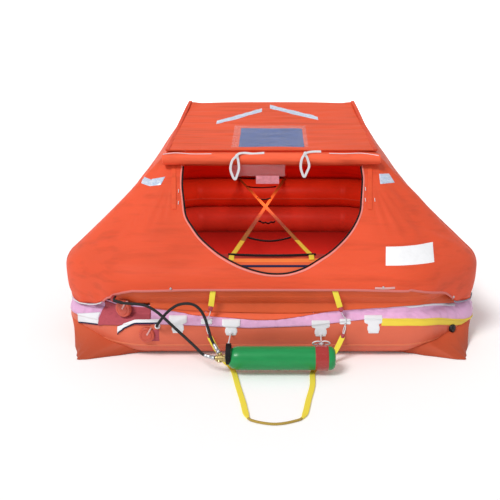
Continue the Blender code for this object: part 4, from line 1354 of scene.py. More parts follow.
@dataclass
class Canopy:
    """Cloth over the hull: front with its doorway, two sides, rear and the sloping roof."""

    front_y: float = -0.77
    main_y: float = -0.12
    roof_front_z: float = 0.768
    roof_main_z: float = 0.955
    seam_front: float = 0.452
    seam_main: float = 0.425
    wrap_radius: float = 0.1043
    plumb: float = 0.84
    thickness: float = 0.0024
    free_rows: int = 40
    wrap_rows: int = 14
    folds: tuple[FoldLine, ...] = (
        FoldLine((-0.43, 0.675), (-0.72, 0.40), 0.0040, 0.020),
        FoldLine((-0.425, 0.66), (-0.62, 0.42), 0.0034, 0.016),
        FoldLine((-0.42, 0.655), (-0.54, 0.43), 0.0036, 0.014),
        FoldLine((-0.415, 0.65), (-0.47, 0.45), 0.0030, 0.011),
        FoldLine((-0.41, 0.65), (-0.42, 0.50), 0.0028, 0.009),
        FoldLine((-0.45, 0.69), (-0.66, 0.52), 0.0030, 0.016),
        FoldLine((-0.76, 0.395), (-0.40, 0.50), 0.0048, 0.018),
        FoldLine((-0.60, 0.30), (-0.15, 0.335), 0.0030, 0.013),
        FoldLine((-0.50, 0.345), (-0.10, 0.33), 0.0026, 0.010),
        FoldLine((0.43, 0.665), (0.70, 0.42), 0.0040, 0.020),
        FoldLine((0.425, 0.655), (0.60, 0.43), 0.0036, 0.015),
        FoldLine((0.42, 0.65), (0.52, 0.44), 0.0034, 0.012),
        FoldLine((0.415, 0.645), (0.455, 0.46), 0.0030, 0.010),
        FoldLine((0.44, 0.69), (0.64, 0.55), 0.0032, 0.016),
        FoldLine((0.77, 0.40), (0.44, 0.52), 0.0034, 0.018),
        FoldLine((0.62, 0.30), (0.20, 0.33), 0.0028, 0.013),
        FoldLine((0.45, 0.35), (0.12, 0.325), 0.0024, 0.010),
    )
    side_folds: tuple[FoldLine, ...] = (
        FoldLine((-0.14, 0.90), (-0.55, 0.42), 0.0032, 0.016),
        FoldLine((-0.12, 0.88), (-0.30, 0.42), 0.0032, 0.014),
        FoldLine((-0.10, 0.88), (-0.05, 0.42), 0.0028, 0.013),
        FoldLine((-0.08, 0.88), (0.22, 0.42), 0.0030, 0.014),
        FoldLine((-0.72, 0.72), (-0.45, 0.42), 0.0030, 0.014),
        FoldLine((-0.74, 0.70), (-0.75, 0.42), 0.0026, 0.012),
        FoldLine((0.02, 0.88), (0.60, 0.45), 0.0034, 0.018),
    )

    def columns(self) -> tuple[Array, Array, Array]:
        """Numbers, top points and ring positions of the canopy's columns, from -14 round the front to 14."""
        f, m, ft, t = self.front_y, self.main_y, self.roof_front_z - 0.006, self.roof_main_z
        sf, sm = self.seam_front, self.seam_main
        right = [((0.0, f - 0.036, ft), PLAN.place_on(Edge.FRONT, 0.0)),
                 ((0.20, f - 0.036, ft), PLAN.place_on(Edge.FRONT, 0.22)),
                 ((0.40, f - 0.034, ft), PLAN.place_on(Edge.FRONT, 0.42)),
                 ((0.44, f - 0.028, ft - 0.002), 16.0), ((0.448, f - 0.018, ft - 0.004), 17.0),
                 ((sf, f - 0.01, ft - 0.006), 18.0), ((sf, f + 0.01, ft - 0.004), 19.0),
                 ((0.44, -0.45, 0.853), 16 + PLAN.place_on(Edge.RIGHT, -0.45)),
                 ((sm, m, t - 0.02), 16 + PLAN.place_on(Edge.RIGHT, -0.10)),
                 ((sm - 0.005, m + 0.02, t - 0.021), 16 + PLAN.place_on(Edge.RIGHT, 0.40)),
                 ((sm - 0.02, m + 0.03, t - 0.018), 20.0), ((sm - 0.045, m + 0.034, t - 0.014), 21.0),
                 ((sm - 0.065, m + 0.036, t - 0.011), 22.0), ((sm - 0.09, m + 0.038, t - 0.009), 23.0),
                 ((0.0, m + 0.04, t - 0.006), 16 + PLAN.place_on(Edge.REAR, 0.0))]
        tops = np.array([p for p, _ in right])
        places = np.array([s for _, s in right])
        tops = np.vstack([tops[:0:-1] * (-1, 1, 1), tops])
        places = np.concatenate([31 - places[:0:-1], places])
        return np.arange(-14, 15), tops, places

    def hem(self, place: Array) -> Array:
        """Height of the hem at ring positions: near the tube's middle at the door, low at the corners.

        Args:
            place: Ring positions.

        Returns:
            Heights in metres.
        """
        folded = np.abs((np.asarray(place) - 11.5) % 8 - 4.0)
        left = np.interp(folded, [0.3, 0.9, 1.3, 1.46, 1.54, 1.62, 1.70, 1.86, 2.1, 2.34, 2.6, 3.4],
                         [0.285, 0.269, 0.257, 0.247, 0.238, 0.217, 0.204, 0.191, 0.181, 0.172, 0.172, 0.185])
        right = np.interp(
            folded, [0.45, 0.8, 1.2, 1.5, 1.76, 1.92, 2.0, 2.08, 2.16, 2.4, 2.64, 3.4],
            [0.285, 0.276, 0.268, 0.262, 0.244, 0.222, 0.209, 0.193, 0.187, 0.178, 0.172, 0.185])
        return np.where(np.asarray(place) % 16 < 3.5, right, left)

    def rim(self, place: Array, below: Array, lift: Array) -> Array:
        """Points on the cloth near its hem: below the hem's height by that much, and lift off the cloth.

        Args:
            place: Ring positions.
            below: How far under the hem's height.
            lift: Distance off the cloth.

        Returns:
            The points.
        """
        line, normal = PLAN.at(place)
        z = self.hem(place) - below
        offset = self.tucked(PLAN.upper_z - z) + lift
        return np.concatenate([line + normal * offset[..., None], z[..., None]], axis=-1)

    def tucked(self, drop: Array) -> Array:
        """Distance out of cloth that hangs by drop below the tube's middle, between the tube and plumb."""
        on_tube = np.sqrt(np.maximum(self.wrap_radius ** 2 - drop ** 2, (0.15 * self.wrap_radius) ** 2))
        return on_tube + (self.wrap_radius - on_tube) * self.plumb

    def column_samples(self, low: float, high: float, spacing: float = 0.011) -> Array:
        """Column numbers from low to high at about even steps along the hull.

        Args:
            low: First column number.
            high: Last one.
            spacing: Step that is aimed at, in metres.

        Returns:
            The column numbers.
        """
        numbers, _, places = self.columns()
        fine = np.linspace(low, high, int((high - low) * 60) + 1)
        line, normal = PLAN.at(np.interp(((fine + 14) % 28) - 14, numbers, places))
        edge = line + normal * self.wrap_radius
        whole = steps(edge).sum()
        shares = np.arange(0, 1.0001, 1 / max(int(whole / spacing), 2))
        return np.interp(shares, run_along(edge) / whole, fine)

    def shape(self, column: Array) -> Array:
        """Points of the canopy under each column number, before its folds.

        A column runs straight from its top to where it touches the tube, with a slight sag, and then round
        the tube to the hem. The touching angle is the slope up to the top less the angle whose cosine is the
        tube's radius over the distance.

        Args:
            column: Column numbers.

        Returns:
            Array of rows by columns by three.
        """
        numbers, tops, places = self.columns()
        wrapped = ((np.asarray(column) + 14) % 28) - 14
        top = coordinates(*(np.interp(wrapped, numbers, values) for values in tops.T))
        place = np.interp(wrapped, numbers, places)
        line, normal = PLAN.at(place)
        radius = self.wrap_radius
        reach = np.einsum("ij,ij->i", top[:, :2] - line, normal)
        rise = top[:, 2] - PLAN.upper_z
        touch = np.degrees(np.arctan2(rise, reach) - np.arccos(radius / np.hypot(reach, rise)))
        foot = PLAN.on_tube(place, touch, radius, PLAN.upper_z)
        t = (np.arange(self.free_rows) / self.free_rows)[:, None, None]
        across = np.gradient(foot, axis=0)
        inward = unit(np.cross(across, foot - top))
        sag = 0.011 * (1 - bell(np.abs(wrapped), 5.2, 0.9)) * (1 - bell(np.abs(wrapped), 10.5, 1.2))
        free = top + (foot - top) * t + inward * (sag[:, None] * 4 * t * (1 - t))
        share = np.linspace(0, 1, self.wrap_rows)[:, None]
        over = PLAN.on_tube(place[None], touch[None] * (1 - share), radius, PLAN.upper_z)
        drop = (PLAN.upper_z - self.hem(place))[None] * np.linspace(0, 1, 13)[1:, None]
        hanging = np.concatenate([line[None] + normal[None] * self.tucked(drop)[..., None],
                                  (PLAN.upper_z - drop)[..., None]], axis=-1)
        return np.concatenate([free, over, hanging])

    def folded(self, points: Array, folds: Sequence[FoldLine], side_view: bool, seed: int) -> Array:
        """Moves cloth along its outward direction by its fold lines and a soft swell.

        Args:
            points: Grid of the cloth, rows downwards.
            folds: Its fold lines.
            side_view: Whether the folds are drawn on Y and Z, not X and Z.
            seed: Seed of the swell.

        Returns:
            The moved grid.
        """
        outward = unit(np.cross(np.gradient(points, axis=0), np.gradient(points, axis=1)))
        across, height = points[..., 1 if side_view else 0], points[..., 2]
        lift = sum((fold.lift(across, height) for fold in folds), np.zeros(across.shape))
        lift += 0.0016 * ripple(across, height, 0.17, seed)
        if not side_view:
            band = bell(height, 0.355, 0.075) * (1 - ease(0.30, 0.40, np.abs(across)))
            waver = 0.006 * np.sin(across * 11) + 0.003 * np.sin(across * 37)
            lines = np.sin(2 * math.pi * (height + waver) / 0.021)
            lift += 0.0011 * band * lines * (0.6 + 0.4 * np.sin(across * 23 + height * 40))
        rows = np.linspace(0, 1, points.shape[0])[:, None]
        lift *= ease(0.0, 0.06, rows) * (1 - 0.7 * ease(0.62, 0.7, rows))
        lift += 0.002 * np.sin(across * 60 + 3 * np.sin(across * 9)) * ease(0.26, 0.20, height)
        lift = np.clip(lift, -0.0015, 0.02)
        return points + outward * lift[..., None]

    def door_outline(self) -> Array:
        """Outline of the doorway in front view, X and Z, from its upper left corner round below."""
        return smooth_route([(-0.368, 0.735), (-0.370, 0.705), (-0.371, 0.675), (-0.368, 0.631),
                             (-0.358, 0.585), (-0.343, 0.528), (-0.312, 0.489), (-0.277, 0.453),
                             (-0.226, 0.418), (-0.173, 0.391), (-0.108, 0.365), (-0.036, 0.347),
                             (0.020, 0.342), (0.070, 0.346), (0.127, 0.362), (0.178, 0.386), (0.232, 0.414),
                             (0.287, 0.453), (0.326, 0.492), (0.356, 0.540), (0.366, 0.585), (0.373, 0.625),
                             (0.378, 0.664), (0.375, 0.705), (0.373, 0.735)], 0.01)

    def front(self) -> None:
        """The front panel with its doorway cut out."""
        points = self.folded(self.shape(self.column_samples(-6, 6)), self.folds, False, 21)
        obj = make_piece("canopy_front_cloth", [grid(points)], CANOPY_CLOTH, "red_cloth", ["canopy_front"])
        thicken(obj, self.thickness)
        apply_modifiers(obj)
        outline = self.door_outline()
        ends = np.stack([coordinates(outline[:, 0], y, outline[:, 1]) for y in (-1.32, -0.72)])
        prism = grid(ends, wrap_columns=True, caps=True).outward()
        cutter = make_piece("door_cutter", [prism], CANOPY_CLOTH, "red_cloth")
        boolean = obj.modifiers.new("doorway", "BOOLEAN")
        boolean.operation, boolean.solver, boolean.object = "DIFFERENCE", "EXACT", cutter
        apply_modifiers(obj)
        bpy.data.objects.remove(cutter)

    def panel(self, name: str, low: float, high: float, folds: Sequence[FoldLine], seed: int) -> None:
        """Args:
            name: The CAD node that it stands for.
            low: Column number of one edge.
            high: Of the other.
            folds: Its fold lines, drawn on Y and Z.
            seed: Seed of its swell.
        """
        points = self.folded(self.shape(self.column_samples(low, high)), folds, True, seed)
        obj = make_piece(name + "_cloth", [grid(points)], CANOPY_CLOTH, "red_cloth", [name])
        thicken(obj, self.thickness)
        tall, wide = (float(np.linalg.norm(np.diff(points, axis=k), axis=-1).sum(axis=k).max())
                      for k in (0, 1))

    def roof_half(self, t: Array) -> Array:
        """Half width of the roof at shares t from the front to the main arch."""
        return self.seam_front * (1 - t) + self.seam_main * t - 0.004

    def roof_points(self, t: Array, s: Array) -> Array:
        """Points of the roof at shares t, from the front to the main arch, and s, from -1 to 1 across.

        Height runs in a straight line from front to back. It drops with the fourth power of the share
        across, sags by a half sine along, and rises in a bell at both back corners.

        Args:
            t: Shares along.
            s: Shares across.

        Returns:
            The points.
        """
        y = (self.front_y - 0.02) * (1 - t) + (self.main_y + 0.02) * t
        half = self.roof_half(t)
        z = self.roof_front_z * (1 - t) + self.roof_main_z * t
        peak = 0.010 * bell(np.abs(s), 1.0, 0.10) * bell(t, 1.0, 0.08)
        crown = -0.010 * np.sin(math.pi * t) * (1 - s ** 4) + 0.0012 * ripple(half * s * 0.4, y * 2.2, 0.1, 5)
        z = z - 0.010 * np.abs(s) ** 4 * t + peak + crown * ease(0, 0.1, t) * (1 - ease(0.9, 1.0, t))
        return coordinates(half * s, y, z)

    def roof(self) -> None:
        """The roof panel and the piped seams down its two sides."""
        points = self.roof_points(np.linspace(0, 1, 46)[:, None], np.linspace(-1, 1, 61)[None])
        obj = make_piece("canopy_roof_cloth", [grid(points).flipped()], ROOF_CLOTH, "red_cloth",
                         ["canopy_roof"])
        thicken(obj, 0.003)
        for sign, label in ((-1, "left"), (1, "right")):
            path = smooth_route([
                (sign * (self.seam_front - 0.006), self.front_y - 0.020, self.roof_front_z - 0.001),
                (sign * 0.443, -0.62, 0.808), (sign * 0.435, -0.38, 0.873), (sign * 0.428, -0.20, 0.926),
                (sign * (self.seam_main - 0.004), self.main_y + 0.022, 0.957)], 0.012)
            make_piece("roof_seam_" + label, [sweep(path, rounded_strip(0.017, 0.009))],
                       SEAM_CLOTH, "red_cloth")

    def seams(self) -> None:
        """Flat stitched seams between the panels, each a strip on its column."""
        for number, label in ((6, "front_right"), (-6, "front_left"), (11, "rear_right"), (-11, "rear_left")):
            sheet = self.shape(np.array([number - 0.08, number, number + 0.08]))
            outward = unit(np.cross(np.gradient(sheet, axis=0), np.gradient(sheet, axis=1)))[:, 1]
            path = sheet[:, 1] + outward * 0.0006
            make_piece("panel_seam_" + label, [sweep(path, rounded_strip(0.013, 0.0022), outward)],
                       SEAM_CLOTH, "red_cloth")

    def build(self) -> None:
        """Panels, roof and seams."""
        self.front()
        self.panel("canopy_side_right", 6, 11, self.side_folds, 31)
        self.panel("canopy_side_left", -11, -6, self.side_folds, 37)
        self.panel("canopy_rear", 11, 17, (), 41)
        self.roof()
        self.seams()


@dataclass
class Frame:
    """The two inflated arches under the canopy."""

    def arch(self, name: str, half: Sequence[Sequence[float]], radius: float) -> None:
        """One arch: a circle carried along a smooth bent line, with puckers at its bends.

        Args:
            name: The CAD node that it stands for.
            half: Points of its right half, from the foot to the middle.
            radius: Of the tube.
        """
        right = np.array(half, float)
        path = smooth_route(np.vstack([right, (right * (-1, 1, 1))[::-1]]), 0.012)
        run = np.arange(len(path)) * 0.012
        bend = np.linalg.norm(np.gradient(np.gradient(path, axis=0), axis=0), axis=1)
        scale = 1 + 0.012 * np.sin(run * 2 * math.pi / 0.022) * np.clip(bend / 0.0012, 0, 1)
        make_piece(name + "_skin", [sweep(path, circle(radius, 28), (0, 1, 0), scale)], ARCH_CLOTH,
                   "orange_tube", [name])

    def build(self) -> None:
        """Door arch and main arch."""
        self.arch("door_arch", [(0.395, -1.135, 0.345), (0.402, -1.03, 0.466), (0.411, -0.90, 0.60),
                                (0.417, -0.80, 0.694), (0.400, -0.772, 0.720), (0.365, -0.77, 0.725),
                                (0.20, -0.77, 0.725)], 0.0258)
        self.arch("main_arch", [(0.735, -0.12, 0.33), (0.62, -0.12, 0.515), (0.50, -0.12, 0.709),
                                (0.425, -0.12, 0.83), (0.385, -0.12, 0.876), (0.335, -0.12, 0.893),
                                (0.20, -0.12, 0.894)], 0.0448)


@dataclass
class DoorRoll:
    """The rolled-up door over the doorway, with its spiral ends."""

    half: float = 0.452
    y: float = -0.8656
    z: float = 0.738
    radius: float = 0.0232

    def build(self) -> None:
        """The roll: radius over X and turn, lumpy, with a step where the outer edge lies on the turn below.

        The ends are discs whose depth follows a spiral.
        """
        x = np.linspace(-self.half, self.half, 150)[:, None]
        turns = 40
        a = np.arange(turns) * 2 * math.pi / turns
        lump = 0.0009 * ripple(x, a[None] * 0.02, 0.12, 4) + 0.0006 * ripple(x * 0.3, a[None] * 0.05, 0.05, 9)
        pinch = 0.0022 * (bell(x, -0.143, 0.012) + bell(x, 0.139, 0.012))
        edge = 0.0022 * bell((a[None] - 5.2 + math.pi) % (2 * math.pi) - math.pi, 0.0, 0.25)
        radius = self.radius + lump - pinch + edge
        body = coordinates(x, self.y + radius * np.cos(a), self.z + radius * np.sin(a))
        rings = np.linspace(0.92, 0.06, 9)[:, None]
        groove = 0.003 * np.cos(2 * math.pi * (rings * 3.2) + a[None])
        caps = []
        for row, sign in ((body[0], -1), (body[-1], 1)):
            centre = np.array([row[:, 0].mean(), self.y, self.z])
            disc = centre + (row - centre)[None] * rings[..., None]
            disc[..., 0] += sign * (0.004 * (1 - rings) + groove * 0.6 + 0.001)
            caps.append(disc)
        points = np.concatenate([caps[0][::-1], body, caps[1]])
        roll = grid(points, wrap_columns=True, caps=True).outward()
        make_piece("door_roll_cloth", [roll], ROLL_CLOTH, "red_cloth", ["door_roll"])


# Fittings on the hull


def rope(points: Sequence[Sequence[float]], radius: float, hint: Sequence[float] = (0, 0.3, 1)) -> Surface:
    """A thin round cord along a smooth route."""
    return sweep(smooth_route(points, max(radius, 0.002) * 1.6), circle(radius, 10), hint)


@dataclass
class Patches:
    """White patches glued to the hull, the belt, the tabs, and the knots and cords tied to them."""

    tee: tuple[tuple[float, float], ...] = (
        (0.000, 0.0330), (0.002, 0.0350), (0.021, 0.0350), (0.0245, 0.0315), (0.0265, 0.0225),
        (0.0300, 0.0205), (0.0345, 0.0232), (0.0455, 0.0235), (0.0480, 0.0205), (0.0530, 0.0200),
        (0.0550, 0.0170))
    bone: tuple[tuple[float, float], ...] = (
        (0.000, 0.0185), (0.002, 0.0215), (0.007, 0.0225), (0.010, 0.0200), (0.014, 0.0225), (0.019, 0.0210),
        (0.021, 0.0180))
    cord: float = 0.0016

    def glued(self, name: str, edge: int, along: float, top: float, height: float,
              outline: tuple[tuple[float, float], ...], node: str) -> None:
        """A patch of that outline on a straight run of the lower tube.

        Args:
            name: Of the piece.
            edge: Ring number of the run's first corner.
            along: X or Y of its middle.
            top: Angle of its upper edge.
            height: Its size round the tube.
            outline: Rows of distance from the upper edge and half width.
            node: CAD node that it stands for.
        """
        down, half = np.array(outline).T
        down = down * height / down[-1]
        step = np.linspace(0, height, 34)
        wide = np.interp(step, down, half) + 0.0003 * np.sin(step * 2600 + along * 50)
        place = PLAN.place_on(edge, along + wide[:, None] * np.linspace(-1, 1, 21)[None])
        angle = (top - np.degrees(step / HULL.skin))[:, None]
        make_piece(name, [HULL.hug(place, angle, 0.0022)], WHITE, "white_patch", [node], sharp=40.0)

    def front(self) -> None:
        """The four T patches of the front, the two small ones, and their stitches."""
        for label, x, top, height in (
                ("left", -0.362, 44.5, 0.068), ("bottle_left", -0.156, 35.5, 0.062),
                ("bottle_right", 0.190, 33.0, 0.062), ("right", 0.394, 45.0, 0.070)):
            node = "line_patch_" + label
            self.glued(node + "_cloth", Edge.FRONT, x, top, height, self.tee, node)
            self.sewn(node, x, top, 0.028)
        for label, x in (("left", -0.251), ("right", 0.285)):
            node = "ladder_patch_" + label
            self.glued(node + "_cloth", Edge.FRONT, x, 36.5, 0.021, self.bone, node)

    def sewn(self, name: str, x: float, top: float, half: float) -> None:
        """Two rows of stitches across a T patch."""
        rows = []
        for down in (0.005, 0.019):
            angle = top - math.degrees(down / HULL.skin)
            line = PLAN.on_tube(PLAN.place_on(Edge.FRONT, x + np.linspace(-half, half, 9)), angle,
                                HULL.skin + 0.0068, PLAN.lower_z)
            rows.append(stitches(line, (0, -1, 0.5), pitch=0.0042))
        make_piece(name + "_stitches", [joined(rows)], WHITE_CORD, "white_patch")

    def around(self) -> None:
        """The T patches of the sides and the rear."""
        for side, edge in (("right", Edge.RIGHT), ("left", Edge.LEFT)):
            for label, y in (("fore", -0.52), ("mid", 0.02), ("aft", 0.56)):
                node = f"line_patch_{side}_{label}"
                self.glued(node + "_cloth", edge, y, 33.0, 0.062, self.tee, node)
        for label, x in (("left", -0.30), ("right", 0.30)):
            node = "line_patch_rear_" + label
            self.glued(node + "_cloth", Edge.REAR, x, 33.0, 0.062, self.tee, node)

    def corner(self) -> None:
        """The two white patches of the left corner, each over a dark tape, and the red cover with its tag."""
        share = np.linspace(0, 1, 25)[None]
        down = np.linspace(0, 1, 19)[:, None]
        for name, low, high, tops, bottoms, nodes in (
                ("corner_patch_left", 13.10, 13.70, (14.0, 34.0), (-8.0, 6.0), []),
                ("tow_patch_webbing", 14.22, 15.075, (14.0, 36.0), (-4.0, 28.0), ["tow_patch"])):
            place = low + (high - low) * share
            top = tops[0] + (tops[1] - tops[0]) * share
            bottom = bottoms[0] + (bottoms[1] - bottoms[0]) * share ** 0.7
            square = HULL.hug(place, top + (bottom - top) * down, 0.0048)
            make_piece(name, [square], WHITE, "white_patch", nodes, sharp=40.0)
            under = HULL.hug(place, bottom - 2.2 + 3.4 * (1 - np.linspace(0, 1, 7)[:, None]), 0.0055)
            make_piece(name + "_tape", [under], NAVY_TAPE, "black_rubber")
        place = PLAN.samples(13.72, 15.04, 0.006)
        low = np.interp(place, [13.72, 14.0, 14.5, 15.08], [3.0, 15.0, 19.0, 23.0])
        lift = 0.0046
        cover = HULL.over_joint(place, HULL.level(low, PLAN.lower_z, lift),
                                HULL.level(-66.0, PLAN.upper_z, lift), lift, 0.0016, columns=23)
        thicken(make_piece("valve_cover", [grid(cover)], COVER, "red_strap"), 0.0018)
        tag = PLAN.place_on(Edge.FRONT, np.linspace(-0.470, -0.434, 9))
        tag_shape = HULL.hug(tag, np.linspace(13.0, -15.0, 13)[:, None], 0.0016)
        make_piece("valve_tag", [tag_shape], COVER, "red_strap")

    def belt(self) -> None:
        """The yellow belt round the right corner, with its white end."""
        place = PLAN.samples(15.917, 19.02, 0.02)
        drop = np.interp(place, [15.9, 17.0, 17.5, 18.0, 19.0], [0.0, 7.5, 24.5, 39.5, 45.5])
        rows = np.linspace(0, 1, 9)[:, None]
        make_piece("yellow_belt_webbing", [HULL.hug(place, 37.5 - 16.0 * rows - drop, 0.0020)], BELT,
                   "yellow_webbing", ["yellow_belt"], sharp=40.0)
        end = HULL.hug(np.linspace(18.97, 19.03, 7), -6.8 - 18.0 * rows, 0.0034)
        make_piece("belt_end", [end], WHITE, "white_patch")

    def tabs(self) -> None:
        """The ladder's upper tabs, their knots, and the cords down to the small patches."""
        knots, cords = [], []
        for label, x_top, x_low, z_low, patch_x, lower in (
                ("left", -0.2225, -0.2316, 0.215, -0.251, (-0.2395, -1.2535, 0.099)),
                ("right", 0.2407, 0.2620, 0.211, 0.285, (0.2735, -1.2540, 0.099))):
            place = PLAN.place_on(Edge.FRONT, x_top)
            glued = [PLAN.on_tube(place, a, HULL.skin + 0.0022, PLAN.upper_z) for a in (-4, -9)]
            path = smooth_route([*glued, (x_top * 0.5 + x_low * 0.5, -1.2425, 0.245),
                                 (x_low, -1.2400, z_low)], 0.004)
            node = "ladder_tab_" + label
            make_piece(node + "_webbing", [sweep(path, rounded_strip(0.0215, 0.0022), (0, -1, 0.1))], YELLOW,
                       "yellow_webbing", [node])
            drop = (x_low - x_top) * 0.2
            knots.append(knot((x_low + drop, -1.2390, z_low - 0.009), 0.0088, 2, (1.0, 0.75, 1.1)))
            knots.append(knot(lower, 0.0075, 4, (0.9, 0.8, 1.2)))
            above = [(x_low + drop, -1.2385, z_low - 0.012), (x_low + drop * 2.5, -1.2375, z_low - 0.030),
                     (patch_x + 0.003, -1.2330, 0.160), (patch_x, -1.2320, 0.150)]
            below = [(patch_x, -1.2375, 0.142), (patch_x * 0.97, -1.2450, 0.122), lower]
            cords += [rope(above, self.cord), rope(below, self.cord),
                      knot((patch_x, -1.2335, 0.146), 0.0045, 1)]
        make_piece("ladder_knots", knots, COVER, "red_strap")
        make_piece("ladder_cords", cords, WHITE_CORD, "white_patch")

    def build(self) -> None:
        """All patches, the belt and the tabs."""
        self.front()
        self.around()
        self.corner()
        self.belt()
        self.tabs()


@dataclass
class Valves:
    """Inflation valves with their caps, the hose fittings and the relief valve."""

    cap: tuple[tuple[float, float, float], ...] = (
        (-0.004, 0.0330, 0.0), (0.0005, 0.0335, 0.0), (0.0015, 0.0335, 0.0), (0.0025, 0.0325, 0.4),
        (0.0040, 0.0322, 1.0), (0.0085, 0.0318, 1.0), (0.0100, 0.0300, 0.6), (0.0106, 0.0270, 0.1),
        (0.0108, 0.0245, 0.0), (0.0098, 0.0235, 0.0), (0.0098, 0.0215, 0.0), (0.0118, 0.0205, 0.0),
        (0.0126, 0.0170, 0.0), (0.0128, 0.0080, 0.0), (0.0120, 0.0060, 0.0), (0.0120, 0.0010, 0.0))

    def inlet(self, name: str, seat: Array, axis: Array, size: float, node: str) -> None:
        """A screwed cap with a ribbed rim, a ring groove, and a strap over its top that holds it.

        Args:
            name: Of the piece.
            seat: Middle of the valve's foot.
            axis: Its direction off the hull.
            size: Factor on the cap's profile.
            node: CAD node that it stands for.
        """
        profile = [(d * size, r * size, s) for d, r, s in self.cap]
        body = turned(profile, seat, axis, sides=96, lobes=24, lobe_depth=0.0016)
        side = unit(np.cross(axis, (0, 0, 1)))
        up = np.cross(side, axis)
        lean = side * -0.5 + up * 0.85
        path = smooth_route([seat + lean * 0.037 * size - axis * 0.001,
                             seat + lean * 0.034 * size + axis * 0.010 * size,
                             seat + lean * 0.020 * size + axis * 0.0135 * size,
                             seat + lean * 0.002 * size + axis * 0.0140 * size], 0.003)
        hold = sweep(path, rounded_strip(0.006, 0.0016), axis + lean * 0.3)
        make_piece(name, [body], VALVE_RED, "red_strap", [node], sharp=35.0)
        make_piece(name + "_strap", [hold], PALE_STRAP, "red_strap")

    def build(self) -> None:
        """Both inlets, the elbow, the nipple and the relief valve."""
        axis = PLAN.edge_normal(14.5)
        seat = np.append(PLAN.mitred(14.5, 0.0864), 0.196)
        self.inlet("inlet_upper_cap", seat, axis, 1.0, "inlet_valve_upper")
        self.inlet("inlet_lower_cap", np.array([-0.481, -1.2403, 0.100]), np.array([0.0, -1.0, 0.0]), 0.91,
                   "inlet_valve_lower")
        bend = smooth_route([(-0.6085, -1.2030, 0.2435), (-0.606, -1.240, 0.243), (-0.594, -1.254, 0.241),
                             (-0.5645, -1.262, 0.2352)], 0.002)
        along = np.linspace(0, 1, len(bend))
        size = 1 - 0.28 * ease(0.50, 0.60, along) + 0.06 * np.sin(along * 150) * ease(0.6, 0.66, along)
        obj = make_piece("hose_elbow_moulded", [sweep(bend, circle(0.0085, 20), (0, 0, 1), size)], BLACK,
                         "black_rubber", ["hose_elbow"])
        repaint(obj, face_middles(obj)[:, 0] < -0.602, MAROON)
        foot = PLAN.on_tube(PLAN.place_on(Edge.FRONT, -0.440), 20.0, 0.0975, PLAN.lower_z)
        tilt = math.radians(22.5)
        profile = [(0, 0.0105, 0), (0.0030, 0.0108, 0), (0.0040, 0.0085, 0), (0.0065, 0.0080, 0),
                   (0.0070, 0.0094, 1), (0.0115, 0.0094, 1), (0.0120, 0.0078, 0), (0.0160, 0.0074, 0),
                   (0.0165, 0.0060, 0)]
        axis = (0, -math.cos(tilt), math.sin(tilt))
        nipple = turned(profile, foot, axis, sides=36, lobes=6, lobe_depth=0.0012)
        make_piece("hose_nipple_fitting", [nipple], WHITE, "white_patch", ["hose_nipple"], sharp=35.0)
        line, normal = PLAN.at(17.5)
        seat = np.append(line + normal * 0.0968, PLAN.lower_z - 0.0165)
        profile = [(0, 0.0165, 0), (0.0020, 0.0168, 0), (0.0035, 0.0160, 0.5), (0.0105, 0.0155, 1),
                   (0.0120, 0.0140, 0.5), (0.0128, 0.0115, 0), (0.0118, 0.0100, 0), (0.0118, 0.0060, 0),
                   (0.0135, 0.0050, 0), (0.0135, 0.0010, 0)]
        cap = turned(profile, seat, np.append(normal, 0.0), sides=72, lobes=18, lobe_depth=0.0014)
        make_piece("relief_valve_cap", [cap], BLACK_MOULDED, "black_rubber", ["relief_valve"], sharp=35.0)


